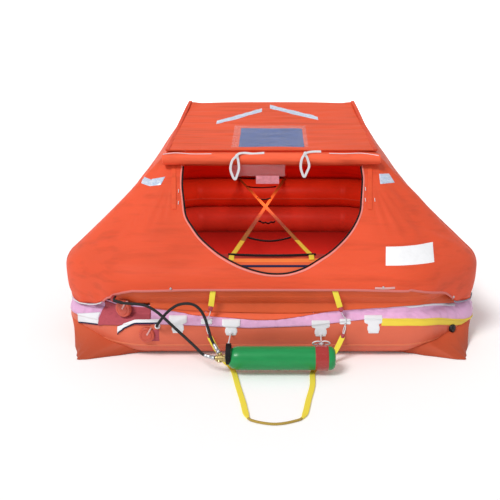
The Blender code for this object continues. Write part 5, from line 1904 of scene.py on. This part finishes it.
@dataclass
class Bottle:
    """The green gas bottle with its neck, valve, strap and ties."""

    left: float = -0.158
    right: float = 0.234
    radius: float = 0.0435
    y: float = -1.385
    z: float = 0.063

    def spun(self, profile: Sequence[Sequence[float]], sides: int = 48, lobes: int = 0,
             depth: float = 0.0) -> Surface:
        """A piece turned about the bottle's own axis, distances as X."""
        return turned(profile, (0.0, self.y, self.z), (1, 0, 0), sides, lobes, depth)

    def body(self) -> None:
        """The shell: a neck, a dome on a circle's arc, a straight wall and a rounded base."""
        a = np.linspace(0, math.pi / 2, 15)
        dome = coordinates(self.left + 0.043 * (1 - np.cos(a)), 0.019 + (self.radius - 0.019) * np.sin(a))
        b = np.linspace(0, math.pi / 2, 12)
        base = coordinates(self.right - 0.020 + 0.020 * np.sin(b), self.radius - 0.020 + 0.020 * np.cos(b))
        wall = coordinates(np.linspace(self.left + 0.05, self.right - 0.026, 24), self.radius)
        profile = np.vstack([[(self.left - 0.004, 0.017)], dome, wall, base,
                             [(self.right + 0.0005, 0.0200), (self.right - 0.003, 0.016),
                              (self.right - 0.004, 0.004)]])
        make_piece("gas_bottle_shell", [self.spun(profile.tolist(), 72)], GREEN, "green_bottle",
                   ["gas_bottle"], sharp=45.0)

    def neck(self) -> None:
        """The black strap round the neck, wrapped twice, and the cord that holds it to its patch."""
        a = np.linspace(0, 2 * math.pi, 72, endpoint=False)
        loops = []
        for x, size in ((self.left, 1.0), (self.left + 0.0010, 1.05)):
            path = coordinates(x, self.y + 0.0352 * size * np.cos(a), 0.0790 + 0.0365 * size * np.sin(a))
            loops.append(sweep(path, rounded_strip(0.0020, 0.0180), (1, 0, 0), closed=True))
        make_piece("neck_sleeve_strap", loops, BLACK_TAPE, "black_rubber", ["neck_sleeve"])
        tie = [rope([(-0.156, -1.2445, 0.1065), (-0.157, -1.262, 0.1095), (-0.158, -1.30, 0.1090),
                     (-0.159, -1.340, 0.1075), (-0.159, -1.3560, 0.1060)], 0.0026, (1, 0, 0)),
               knot((-0.156, -1.2455, 0.1065), 0.0055, 3), knot((-0.159, -1.3560, 0.1065), 0.0056, 6)]
        make_piece("bottle_tie_left_cord", tie, WHITE_CORD, "white_patch", ["bottle_tie_left"])

    def valve(self) -> None:
        """Brass valve with a hexagonal nut and two outlets, and the hoses' silver ferrules."""
        x = self.left
        nut = self.spun([(x - 0.0200, 0.0115, 1), (x - 0.0190, 0.0140, 1), (x - 0.0125, 0.0140, 1)],
                        lobes=6, depth=0.003)
        body = self.spun([(x - 0.0490, 0.0040, 0), (x - 0.0488, 0.0090, 0), (x - 0.0475, 0.0108, 0),
                          (x - 0.0430, 0.0112, 0), (x - 0.0425, 0.0095, 0), (x - 0.0380, 0.0095, 0),
                          (x - 0.0370, 0.0135, 0), (x - 0.0230, 0.0138, 0), (x - 0.0215, 0.0120, 0),
                          (x - 0.0180, 0.0120, 0)])
        pipe = [(0.0, 0.0075), (0.010, 0.0075), (0.0105, 0.0090), (0.0155, 0.0090), (0.016, 0.006)]
        outlets = [turned(pipe, (-0.190, self.y, self.z), axis, sides=36, lobes=6, lobe_depth=0.001)
                   for axis in ((0.05, 0.72, 0.69), (-0.1, -0.55, -0.83))]
        make_piece("bottle_valve_body", [nut, body] + outlets, BRASS, "brass", ["bottle_valve"], sharp=35.0)
        ferrules = []
        for a, b in (((-0.248, -1.3760, 0.0710), (-0.2082, -1.3850, 0.0630)),
                     ((-0.2135, -1.3507, 0.1042), (-0.1925, -1.3725, 0.0757))):
            step = np.subtract(b, a)
            size = float(np.linalg.norm(step))
            ferrules.append(turned([
                (0.0, 0.0058, 0), (0.0008, 0.0070, 0), (size * 0.30, 0.0072, 0), (size * 0.33, 0.0066, 0),
                (size * 0.37, 0.0072, 0), (size * 0.62, 0.0072, 0), (size * 0.66, 0.0062, 0),
                (size * 0.70, 0.0084, 1), (size * 0.96, 0.0084, 1), (size, 0.0060, 0)],
                a, step, sides=36, lobes=6, lobe_depth=0.0012))
        make_piece("hose_ferrules", ferrules, SILVER, "brass")

    def strap(self) -> None:
        """The dark red strap: a flat ring round the bottle, its overlap on top, and the loops above it."""
        x, wide = 0.160, 0.048
        turn = np.linspace(0, 2 * math.pi, 72, endpoint=False)[:, None]
        across = np.linspace(0, 1, 15)[None]
        edge = 1 - np.abs(across * 2 - 1) ** 10
        outer = self.radius + 0.0004 + 0.0019 * edge ** 0.5 + 0.00025 * np.sin(turn * 5 + across * 3)
        inner = np.full(outer.shape, self.radius - 0.0006)

        def bent(radius: Array, share: Array) -> Array:
            """Points round the bottle at these distances and shares of the strap's width."""
            return coordinates(x + wide * share, self.y + radius * np.cos(turn),
                               self.z + radius * np.sin(turn))

        ring = np.concatenate([bent(outer, across), bent(inner, across)[:, ::-1]], axis=1)
        shells = [grid(ring, wrap_rows=True, wrap_columns=True).outward()]
        make_piece("bottle_band_strap", shells, STRAP_RED, "red_strap", ["bottle_band"])
        turn = np.radians(np.linspace(92, 152, 26))[:, None]
        flap = 0.0016 * (1 - np.abs(np.linspace(-1, 1, 26)[:, None]) ** 8)
        top = bent(self.radius + 0.0026 + flap + 0.0006 * np.sin(turn * 14), 0.03 + 0.94 * across)
        under = bent(self.radius + 0.0015, 0.03 + 0.94 * across)
        make_piece("bottle_band_flap", [slab(top, under)], STRAP_RED, "red_strap")
        loops = []
        a = np.linspace(0, 2 * math.pi, 40, endpoint=False)
        for centre, tilt in (((0.1665, -1.3577, 0.1114), 0.15), ((0.2010, -1.3567, 0.1114), -0.15)):
            path = coordinates(centre[0] + 0.0145 * np.cos(a),
                               centre[1] - 0.006 * np.sin(a) - 0.004 * np.cos(a) * tilt,
                               centre[2] + 0.0085 * np.sin(a) + 0.0145 * tilt * np.cos(a))
            loops.append(sweep(path, circle(0.0026, 10), (0, -1, 0.2), closed=True))
        loops.append(rope([(0.190, -1.2445, 0.1015), (0.189, -1.262, 0.1040), (0.187, -1.300, 0.1065),
                           (0.185, -1.340, 0.1080), (0.184, -1.3565, 0.1060)], 0.0026, (1, 0, 0)))
        loops += [knot((0.190, -1.2455, 0.1010), 0.0056, 3), knot((0.1840, -1.3560, 0.1075), 0.0060, 5)]
        make_piece("bottle_tie_right_cord", loops, WHITE_CORD, "white_patch", ["bottle_tie_right"])
        collar = sweep(smooth_route([(0.172, -1.3530, 0.1040), (0.178, -1.3470, 0.1100),
                                     (0.190, -1.3470, 0.1100), (0.197, -1.3530, 0.1040)], 0.002),
                       circle(0.0034, 10), (0, -1, 0.3))
        make_piece("bottle_band_eye", [collar], STRAP_RED, "red_strap")

    def build(self) -> None:
        """Shell, neck, valve and strap."""
        self.body()
        self.neck()
        self.valve()
        self.strap()


@dataclass
class Interior:
    """The crossed straps over the floor, their rungs, and what runs along the front tube inside the door."""

    low: float = 0.3926
    high: float = 0.3949
    reach: float = 1.142

    def strap(self, node: str, start_x: float, end_x: float, height: float) -> None:
        """One strap: a straight run with small twists, bent over the front tube at its start.

        Args:
            node: CAD node that it stands for.
            start_x: X of its front end.
            end_x: X of its rear end.
            height: Of its middle line.
        """
        t = np.linspace(0, 1, 140)[:, None]
        start, end = (start_x, -self.reach, height), (end_x, self.reach, height)
        path = np.array(start) * (1 - t) + np.array(end) * t
        path[:, 2] += 0.0010 + 0.0016 * ease(-1.05, -1.142, path[:, 1])
        turn = np.radians(np.array([62.0, 72.0, 82.0]))
        bent = coordinates(start[0] * 1.03, start[1] - 0.1008 * np.cos(turn),
                           path[0, 2] - 0.1008 * (1 - np.sin(turn)))
        path, t = np.concatenate([bent, path]), np.linspace(0, 1, 143)[:, None]
        hint = coordinates(0.10 * np.sin(t[:, 0] * 9.0), 0.0, 1.0)
        obj = make_piece(node + "_webbing", [sweep(path, rounded_strip(0.0205, 0.0020), hint)], STRAP_YELLOW,
                         "yellow_webbing", [node])
        # Faces past Y -0.89, under the roof, take the darker copy of the webbing: painted shade.
        repaint(obj, face_middles(obj)[:, 1] > -0.89, STRAP_PAINTED_SHADE)

    def rungs(self) -> None:
        """Dark cords between the two straps, some slack, each a curve with a sag in its middle."""
        cords = []
        for y, low, high, sag, waver in (
                (1.14, -0.24, 0.084, 0.004, 0.0), (0.70, -0.165, 0.030, 0.004, 0.002),
                (0.23, -0.085, -0.004, 0.006, 0.004), (-0.485, -0.060, 0.016, 0.004, 0.012),
                (-0.845, -0.104, 0.084, 0.012, 0.0), (-1.150, -0.168, 0.172, 0.0, 0.0)):
            t = np.linspace(0, 1, 40)
            path = coordinates(low + (high - low) * t,
                               y + waver * np.sin(t * 19) - 0.02 * np.sin(math.pi * t),
                               self.low + 0.0055 - sag * np.sin(math.pi * t))
            cords.append(sweep(path, circle(0.0040, 10), (0, 0, 1)))
        make_piece("inner_rungs", cords, BLACK_TAPE, "black_rubber")

    def tapes(self) -> None:
        """The dark red cloth, the orange strip and the dark line along the top of the front tube."""
        place = PLAN.place_on(Edge.FRONT, np.linspace(-0.36, 0.36, 61))
        rows = np.linspace(0, 1, 13)[:, None]
        for name, near, high, low, lift, finish in (
                ("front_tube_inside", place, 150.0, 71.5, 0.0006, INSIDE_RED),
                ("front_tube_strip", place, 69.0, 57.5, 0.0012, STRIP_ORANGE),
                ("front_tube_line", place[16:45], 49.4, 43.4, 0.0014, NAVY_TAPE)):
            tape = HULL.hug(near, high + (low - high) * rows, lift, PLAN.upper_z)
            make_piece(name, [tape], finish, "orange_tube")

    def build(self) -> None:
        """Straps, rungs and tapes."""
        self.strap("inner_strap_low", -0.150, 0.095, self.low)
        self.strap("inner_strap_high", 0.150, -0.235, self.high)
        self.rungs()
        self.tapes()


# Fittings on the canopy


@dataclass
class Trim:
    """What is sewn and glued on the canopy: plate, reflecting tapes, ties, sign, seam strips and rim."""

    canopy: Canopy
    x: Array = field(init=False)
    z: Array = field(init=False)
    y: Array = field(init=False)

    def __post_init__(self) -> None:
        """Works out Y of the front cloth over even steps of X and Z: first each column, then each height."""
        cloth = self.canopy
        sheet = cloth.folded(cloth.shape(cloth.column_samples(-6.6, 6.6)), cloth.folds, False, 21)
        self.x, self.z = np.linspace(-0.70, 0.70, 141), np.linspace(0.27, 0.755, 98)
        columns = [[np.interp(-self.z, -column[:, 2], column[:, k]) for k in (0, 1)]
                   for column in sheet.transpose(1, 0, 2)]
        across, depth = np.array(columns).transpose(1, 2, 0)
        self.y = np.array([np.interp(self.x, a, d) for a, d in zip(across, depth)])

    def depth(self, x: Array, z: Array) -> Array:
        """Y of the front cloth: the mean of the four table values round a point, weighted by nearness.

        Args:
            x: X of the points.
            z: Z of the points.

        Returns:
            Their Y.
        """
        i = np.clip((z - self.z[0]) / (self.z[1] - self.z[0]), 0, len(self.z) - 1.001)
        j = np.clip((x - self.x[0]) / (self.x[1] - self.x[0]), 0, len(self.x) - 1.001)
        a, b = i.astype(int), j.astype(int)
        u, v = i - a, j - b
        return ((self.y[a, b] * (1 - u) + self.y[a + 1, b] * u) * (1 - v)
                + (self.y[a, b + 1] * (1 - u) + self.y[a + 1, b + 1] * u) * v)

    def on_front(self, x: Array, z: Array, lift: Array) -> Array:
        """Points lift off the front cloth, along the normal that its slopes give.

        Args:
            x: X of the points.
            z: Z of the points.
            lift: Distance off the cloth.

        Returns:
            The points.
        """
        x, z, lift = np.broadcast_arrays(np.asarray(x, float), np.asarray(z, float), lift)
        step = 0.004
        slope_x = (self.depth(x + step, z) - self.depth(x - step, z)) / (2 * step)
        slope_z = (self.depth(x, z + step) - self.depth(x, z - step)) / (2 * step)
        normal = unit(coordinates(slope_x, -1.0, slope_z))
        return coordinates(x, self.depth(x, z), z) + normal * lift[..., None]

    def on_roof(self, x: Array, y: Array, lift: Array) -> Array:
        """Points lift off the roof.

        Args:
            x: X of the points.
            y: Y of the points.
            lift: Distance off the roof.

        Returns:
            The points.
        """
        roof = self.canopy
        t = (y - roof.front_y + 0.02) / (roof.main_y - roof.front_y + 0.04)
        upward = np.array([0.0, -0.26, 0.966])
        return roof.roof_points(t, x / roof.roof_half(t)) + upward * np.asarray(lift)[..., None]

    def glued(self, seat: Callable[..., Array], corners: Sequence[Sequence[float]], lift: float,
              base: float = -0.001) -> Surface:
        """A flat patch between four corners, a slab that is rounded off at its border.

        Args:
            seat: The method that puts points on the cloth.
            corners: Two numbers each, clockwise from the upper left.
            lift: Height of its face off the cloth.
            base: Height of its back.

        Returns:
            A closed surface.
        """
        a, b, c, d = np.array(corners, float)
        v, u = np.linspace(0, 1, 15)[:, None, None], np.linspace(0, 1, 29)[None, :, None]
        flat = (a * (1 - u) + b * u) * (1 - v) + (d * (1 - u) + c * u) * v
        border = np.sqrt((1 - (2 * v - 1) ** 10) * (1 - (2 * u - 1) ** 10))[..., 0]
        edge = max(base, 0.0002)
        return slab(seat(*np.moveaxis(flat, -1, 0), edge + (lift - edge) * border),
                    seat(*np.moveaxis(flat, -1, 0), np.full(border.shape, base)))

    def roof(self) -> None:
        """Blank blue plate under clear film, and two reflecting tapes."""
        plate = [(-0.143, -0.478), (0.143, -0.478), (0.143, -0.747), (-0.143, -0.747)]
        make_piece("roof_plate", [self.glued(self.on_roof, plate, 0.0022)], BLUE, "blue_panel",
                   ["number_panel"])
        film = [(-0.174, -0.447), (0.160, -0.447), (0.160, -0.757), (-0.174, -0.757)]
        make_piece("roof_plate_film", [self.glued(self.on_roof, film, 0.0034, 0.0026)], CLEAR, "white_patch")
        tapes = []
        for (ax, ay), (bx, by) in (((-0.264, -0.398), (-0.048, -0.218)), ((-0.008, -0.168), (0.227, -0.337))):
            corners = [(ax, ay + 0.026), (bx, by + 0.026), (bx, by - 0.026), (ax, ay - 0.026)]
            tapes.append(self.glued(self.on_roof, corners, 0.0016))
        make_piece("roof_tapes", tapes, RETRO, "white_patch")

    def doorway(self) -> None:
        """Black binding round the doorway and the thin pinkish line outside it."""
        outline = even_spacing(self.canopy.door_outline()[3:-3], 0.008)
        path = self.on_front(outline[:, 0], outline[:, 1], 0.0)
        make_piece("door_binding", [sweep(path, circle(0.0034, 10), (0, 1, 0))], BLACK_TAPE, "black_rubber")
        share = np.linspace(0, 1, 7)[:, None, None]
        flat = outline[None] + unit(outline - (0.0, 0.55))[None] * (0.0035 + 0.0070 * share)
        lift = (0.0004 + 0.0020 * np.sqrt(1 - (2 * share - 1) ** 4))[..., 0]
        outer, inner = (self.on_front(flat[..., 0], flat[..., 1], off) for off in (lift, -0.001))
        make_piece("door_hem", [slab(outer, inner)], HEM_CLOTH, "red_cloth")

    def front(self) -> None:
        """Blank white sign, reflecting tapes, and seam strips with stitch marks beside the doorway."""
        sign = [(0.4446, 0.4272), (0.6457, 0.4272), (0.6325, 0.3694), (0.4349, 0.3694)]
        make_piece("front_sign", [self.glued(self.on_front, sign, 0.0022)], BLANK, "white_patch")
        tapes = [[(-0.545, 0.660), (-0.503, 0.652), (-0.506, 0.628), (-0.551, 0.635)],
                 [(-0.503, 0.655), (-0.4434, 0.667), (-0.4583, 0.637), (-0.505, 0.629)],
                 [(0.4506, 0.678), (0.4968, 0.675), (0.5167, 0.641), (0.4508, 0.640)]]
        make_piece("front_tapes", [self.glued(self.on_front, t, 0.0018) for t in tapes], RETRO, "white_patch")
        strips = []
        for top, low in ((-0.412, -0.394), (0.416, 0.398)):
            path = self.on_front(np.linspace(top, low, 26), np.linspace(0.712, 0.55, 26), 0.0012)
            strips.append(sweep(path, rounded_strip(0.018, 0.0026), (0, -1, 0.4)))
        make_piece("door_side_strips", strips, ROOF_CLOTH, "red_cloth")
        marks = [rope(self.on_front(x, np.array([z + 0.006, z, z - 0.006]), 0.0026), 0.0013, (0, -1, 0))
                 for x, z in ((-0.382, 0.6136), (-0.3785, 0.5715), (0.3868, 0.6207), (0.3825, 0.582),
                              (0.421, 0.582))]
        make_piece("stitch_marks", marks, WHITE_CORD, "white_patch")

    def tie(self, name: str, path: Array, hint: tuple[float, float, float], far_end: str, lay: str,
            with_pieces: list[Object]) -> None:
        """One free length of white tape, a flat strip along its path."""
        obj = make_piece(name, [sweep(path, rounded_strip(0.0100, 0.0018), hint)], WHITE_CORD, "white_patch")
        round(float(steps(path).sum()), 3)

    def ties(self) -> None:
        """Two white tapes tied round the roll, each with a loop, a knot and a tail, and thin piping."""
        for label, loop, tail in (
                ("left",
                 ((-0.143, 0.754), (-0.162, 0.735), (-0.170, 0.704), (-0.165, 0.680), (-0.152, 0.6575),
                  (-0.141, 0.680), (-0.135, 0.704), (-0.138, 0.735), (-0.142, 0.751)),
                 ((-0.143, -0.890, 0.755), (-0.134, -0.886, 0.7625), (-0.110, -0.876, 0.7640),
                  (-0.075, -0.875, 0.7605), (-0.030, -0.872, 0.7640))),
                ("right",
                 ((0.139, 0.763), (0.126, 0.742), (0.121, 0.713), (0.125, 0.690), (0.136, 0.668),
                  (0.148, 0.690), (0.156, 0.713), (0.149, 0.742), (0.140, 0.760)),
                 ((0.139, -0.888, 0.760), (0.150, -0.880, 0.7665), (0.175, -0.868, 0.7690),
                  (0.207, -0.862, 0.7685)))):
            x, z = np.array(loop).T
            path = smooth_route(coordinates(x, -0.893 - 0.10 * (0.755 - z), z), 0.003)
            hitch = make_piece("roll_tie_knot_" + label,
                               [knot((loop[0][0], -0.892, loop[0][1] - 0.002), 0.0080, 3, (0.9, 0.6, 1.2))],
                               WHITE_CORD, "white_patch")
            self.tie("roll_tie_loop_" + label, path, (0, -1, 0.1), "object", "hanging", [hitch])
            self.tie("roll_tie_tail_" + label, smooth_route(tail, 0.003), (0, -1, 0.6), "bare", "loose", [])
        piping = [rope(line, 0.0013) for line in (
            ((-0.452, -0.882, 0.7590), (-0.400, -0.874, 0.7640), (-0.330, -0.876, 0.7600),
             (-0.250, -0.876, 0.7605)),
            ((0.240, -0.874, 0.7625), (0.300, -0.876, 0.7610), (0.377, -0.873, 0.7625),
             (0.445, -0.884, 0.7540)))]
        make_piece("roll_piping", piping, PIPING, "white_patch")

    def flap(self) -> None:
        """Clear film that hangs from the roll, a shallow wave over X and Z, with a blank label on it."""
        z, x = np.linspace(0.716, 0.6685, 13)[:, None], np.linspace(-0.165, 0.056, 45)[None]
        y = -0.884 + 0.0025 * np.sin(x * 60 + z * 40) * ease(0.716, 0.69, z)
        points = coordinates(x, y, z)
        film = make_piece("roll_film", [slab(points, points + (0, 0.0006, 0))], CLEAR, "white_patch")
        z, x = np.linspace(0.671, 0.637, 9)[:, None], np.linspace(-0.065, 0.0315, 21)[None]
        y = -0.889 + 0.0008 * np.sin(x * 90)
        points = coordinates(x, y, z)
        label = make_piece("roll_label", [slab(points, points + (0, 0.0010, 0))], PINK_LABEL, "red_strap")

    def rim(self) -> None:
        """Pinkish ribbon along the front hem, cords along the hem at both corners, three studs and a tab."""
        place = PLAN.samples(13.88, 17.5, 0.010)
        below = np.linspace(-0.001, 0.0085, 7)
        lift = 0.0018 * (1 - np.abs(np.linspace(-1, 1, 7)) ** 6) + 0.0003
        outer, inner = (self.canopy.rim(place[None], below[:, None], off)
                        for off in (lift[:, None], np.full((len(lift), 1), -0.0008)))
        make_piece("hem_ribbon", [slab(outer, inner)], RIM_RIBBON, "red_cloth")
        for label, low, high, finish in (("left", 12.6, 13.83, WHITE_CORD),
                                         ("right", 17.56, 18.7, GREY_CORD)):
            run = PLAN.samples(low, high, 0.008)
            path = self.canopy.rim(run, 0.0035 + 0.0012 * np.sin(run * 9), 0.0022 + 0 * run)
            make_piece("hem_cord_" + label, [sweep(path, circle(0.0024, 10))], finish, "white_patch")
        corner = self.canopy.rim(np.array([17.5]), np.array([-0.004]), np.array([0.0]))[0]
        seats = [((-0.382, -1.2475, 0.2875), (0, -1, 0)), ((0.424, -1.2475, 0.2925), (0, -1, 0)),
                 (corner, np.append(PLAN.at(17.5)[1], 0.0))]
        dome = [(-0.002, 0.0045), (0.0015, 0.0048), (0.0028, 0.0034), (0.0030, 0.0005)]
        studs = [turned(dome, seat, axis, sides=24) for seat, axis in seats]
        make_piece("hem_studs", studs, SILVER, "brass")
        tab = [(0.392, -1.2478, 0.2895), (0.430, -1.2482, 0.2885), (0.468, -1.2478, 0.2905)]
        make_piece("hem_tab", [sweep(smooth_route(tab, 0.004), rounded_strip(0.0085, 0.0016), (0, -1, 0))],
                   PALE_STRAP, "red_strap")

    def build(self) -> None:
        """Roof, doorway, front, ties, flap and rim."""
        self.roof()
        self.doorway()
        self.front()
        self.ties()
        self.flap()
        self.rim()


# Free lines


@dataclass
class Lines:
    """The two hoses and the boarding ladder, on the routes of their CAD nodes."""

    hose_radius: float = 0.0055
    hose_long: tuple[tuple[float, float, float], ...] = (
        (-0.5650, -1.2624, 0.2352), (-0.535, -1.270, 0.235), (-0.503, -1.276, 0.235), (-0.472, -1.281, 0.230),
        (-0.440, -1.286, 0.214), (-0.404, -1.295, 0.187), (-0.362, -1.310, 0.152), (-0.323, -1.327, 0.122),
        (-0.284, -1.350, 0.094), (-0.248, -1.376, 0.071), (-0.2082, -1.385, 0.063))
    hose_short: tuple[tuple[float, float, float], ...] = (
        (-0.440, -1.2484, 0.1374), (-0.438, -1.259, 0.143), (-0.431, -1.270, 0.156), (-0.417, -1.279, 0.176),
        (-0.399, -1.284, 0.199), (-0.375, -1.286, 0.221), (-0.350, -1.288, 0.236), (-0.319, -1.290, 0.242),
        (-0.290, -1.292, 0.237), (-0.266, -1.296, 0.218), (-0.249, -1.304, 0.188), (-0.237, -1.318, 0.155),
        (-0.222, -1.341, 0.117), (-0.192, -1.3727, 0.0753))
    ladder: tuple[tuple[float, float, float], ...] = (
        (-0.251, -1.2368, 0.1360), (-0.251, -1.2398, 0.1286), (-0.246, -1.2475, 0.112),
        (-0.228, -1.262, 0.080), (-0.205, -1.278, 0.045), (-0.181, -1.292, 0.014), (-0.158, -1.318, 0.0046),
        (-0.140, -1.375, 0.0040), (-0.118, -1.50, 0.0040), (-0.096, -1.62, 0.0040), (-0.078, -1.725, 0.0040),
        (-0.052, -1.757, 0.0040), (0.010, -1.775, 0.0040), (0.070, -1.757, 0.0040), (0.104, -1.722, 0.0040),
        (0.126, -1.60, 0.0040), (0.145, -1.49, 0.0040), (0.154, -1.375, 0.0040), (0.184, -1.318, 0.0046),
        (0.216, -1.292, 0.014), (0.243, -1.278, 0.045), (0.264, -1.262, 0.080), (0.280, -1.2475, 0.112),
        (0.285, -1.2398, 0.1286), (0.285, -1.2368, 0.1360))

    def hose(self, name: str, points: Sequence[Sequence[float]]) -> None:
        """A round hose along its route."""
        path = smooth_route(points, 0.006)
        obj = make_piece(name + "_rubber", [sweep(path, circle(self.hose_radius, 16), (0, 1, 0.2))], BLACK,
                         "black_rubber", [name])
        self.declare(path)

    def declare(self, path: Array) -> None:
        """Rounds a free line's length along its path to the millimetre, and keeps nothing."""
        round(float(steps(path).sum()), 3)

    def webbing_ladder(self) -> None:
        """Flat webbing from both ladder patches to the rung, whose middle is rolled up narrow.

        The strip narrows by smooth steps to 0.38 of its width on the rung and to a fifth at the patches. Its
        broad side faces up where it lies on the floor and outwards where it hangs on the hull.
        """
        path = smooth_route(self.ladder, 0.006)
        section = rounded_strip(0.020, 0.0024)
        rung = ease(-1.70, -1.745, path[:, 1])
        flat = ease(0.10, 0.02, path[:, 2])[:, None]
        up = unit((1 - flat) * np.array([0.0, -1.0, 0.35]) + flat * np.array([0.0, -0.25, 1.0]))
        up = unit(up * (1 - rung[:, None]) + np.array([0, 0, 1.0]) * rung[:, None])
        across, square = frames(path, up)
        wide = ((1 - 0.62 * rung) * (1 - 0.80 * ease(0.097, 0.106, path[:, 2])))[:, None, None]
        thick = (1 + 1.6 * rung)[:, None, None]
        points = (path[:, None] + across[:, None] * section[None, :, :1] * wide
                  + square[:, None] * section[None, :, 1:] * thick)
        strip = grid(points, wrap_columns=True, caps=True).outward()
        obj = make_piece("boarding_ladder_webbing", [strip], YELLOW, "yellow_webbing", ["boarding_ladder"])
        _, y, z = face_middles(obj).T
        repaint(obj, np.where(z > 0.103, 2, y < -1.738), OCHRE, WHITE_CORD)
        self.declare(path)

    def build(self) -> None:
        """Hoses, then the ladder."""
        self.hose("hose_long", self.hose_long)
        self.hose("hose_short", self.hose_short)
        self.webbing_ladder()


FRAME: dict[str, Any] = {}


def main() -> None:
    """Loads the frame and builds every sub-assembly."""
    logging.basicConfig(level=logging.INFO, format="%(message)s")
    FRAME.update(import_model())
    Studio().build()
    Lines().build()
    HULL.build()
    canopy = Canopy()
    canopy.build()
    Frame().build()
    DoorRoll().build()
    Patches().build()
    Valves().build()
    Bottle().build()
    Interior().build()
    Trim(canopy).build()


if __name__ == "__main__":
    main()
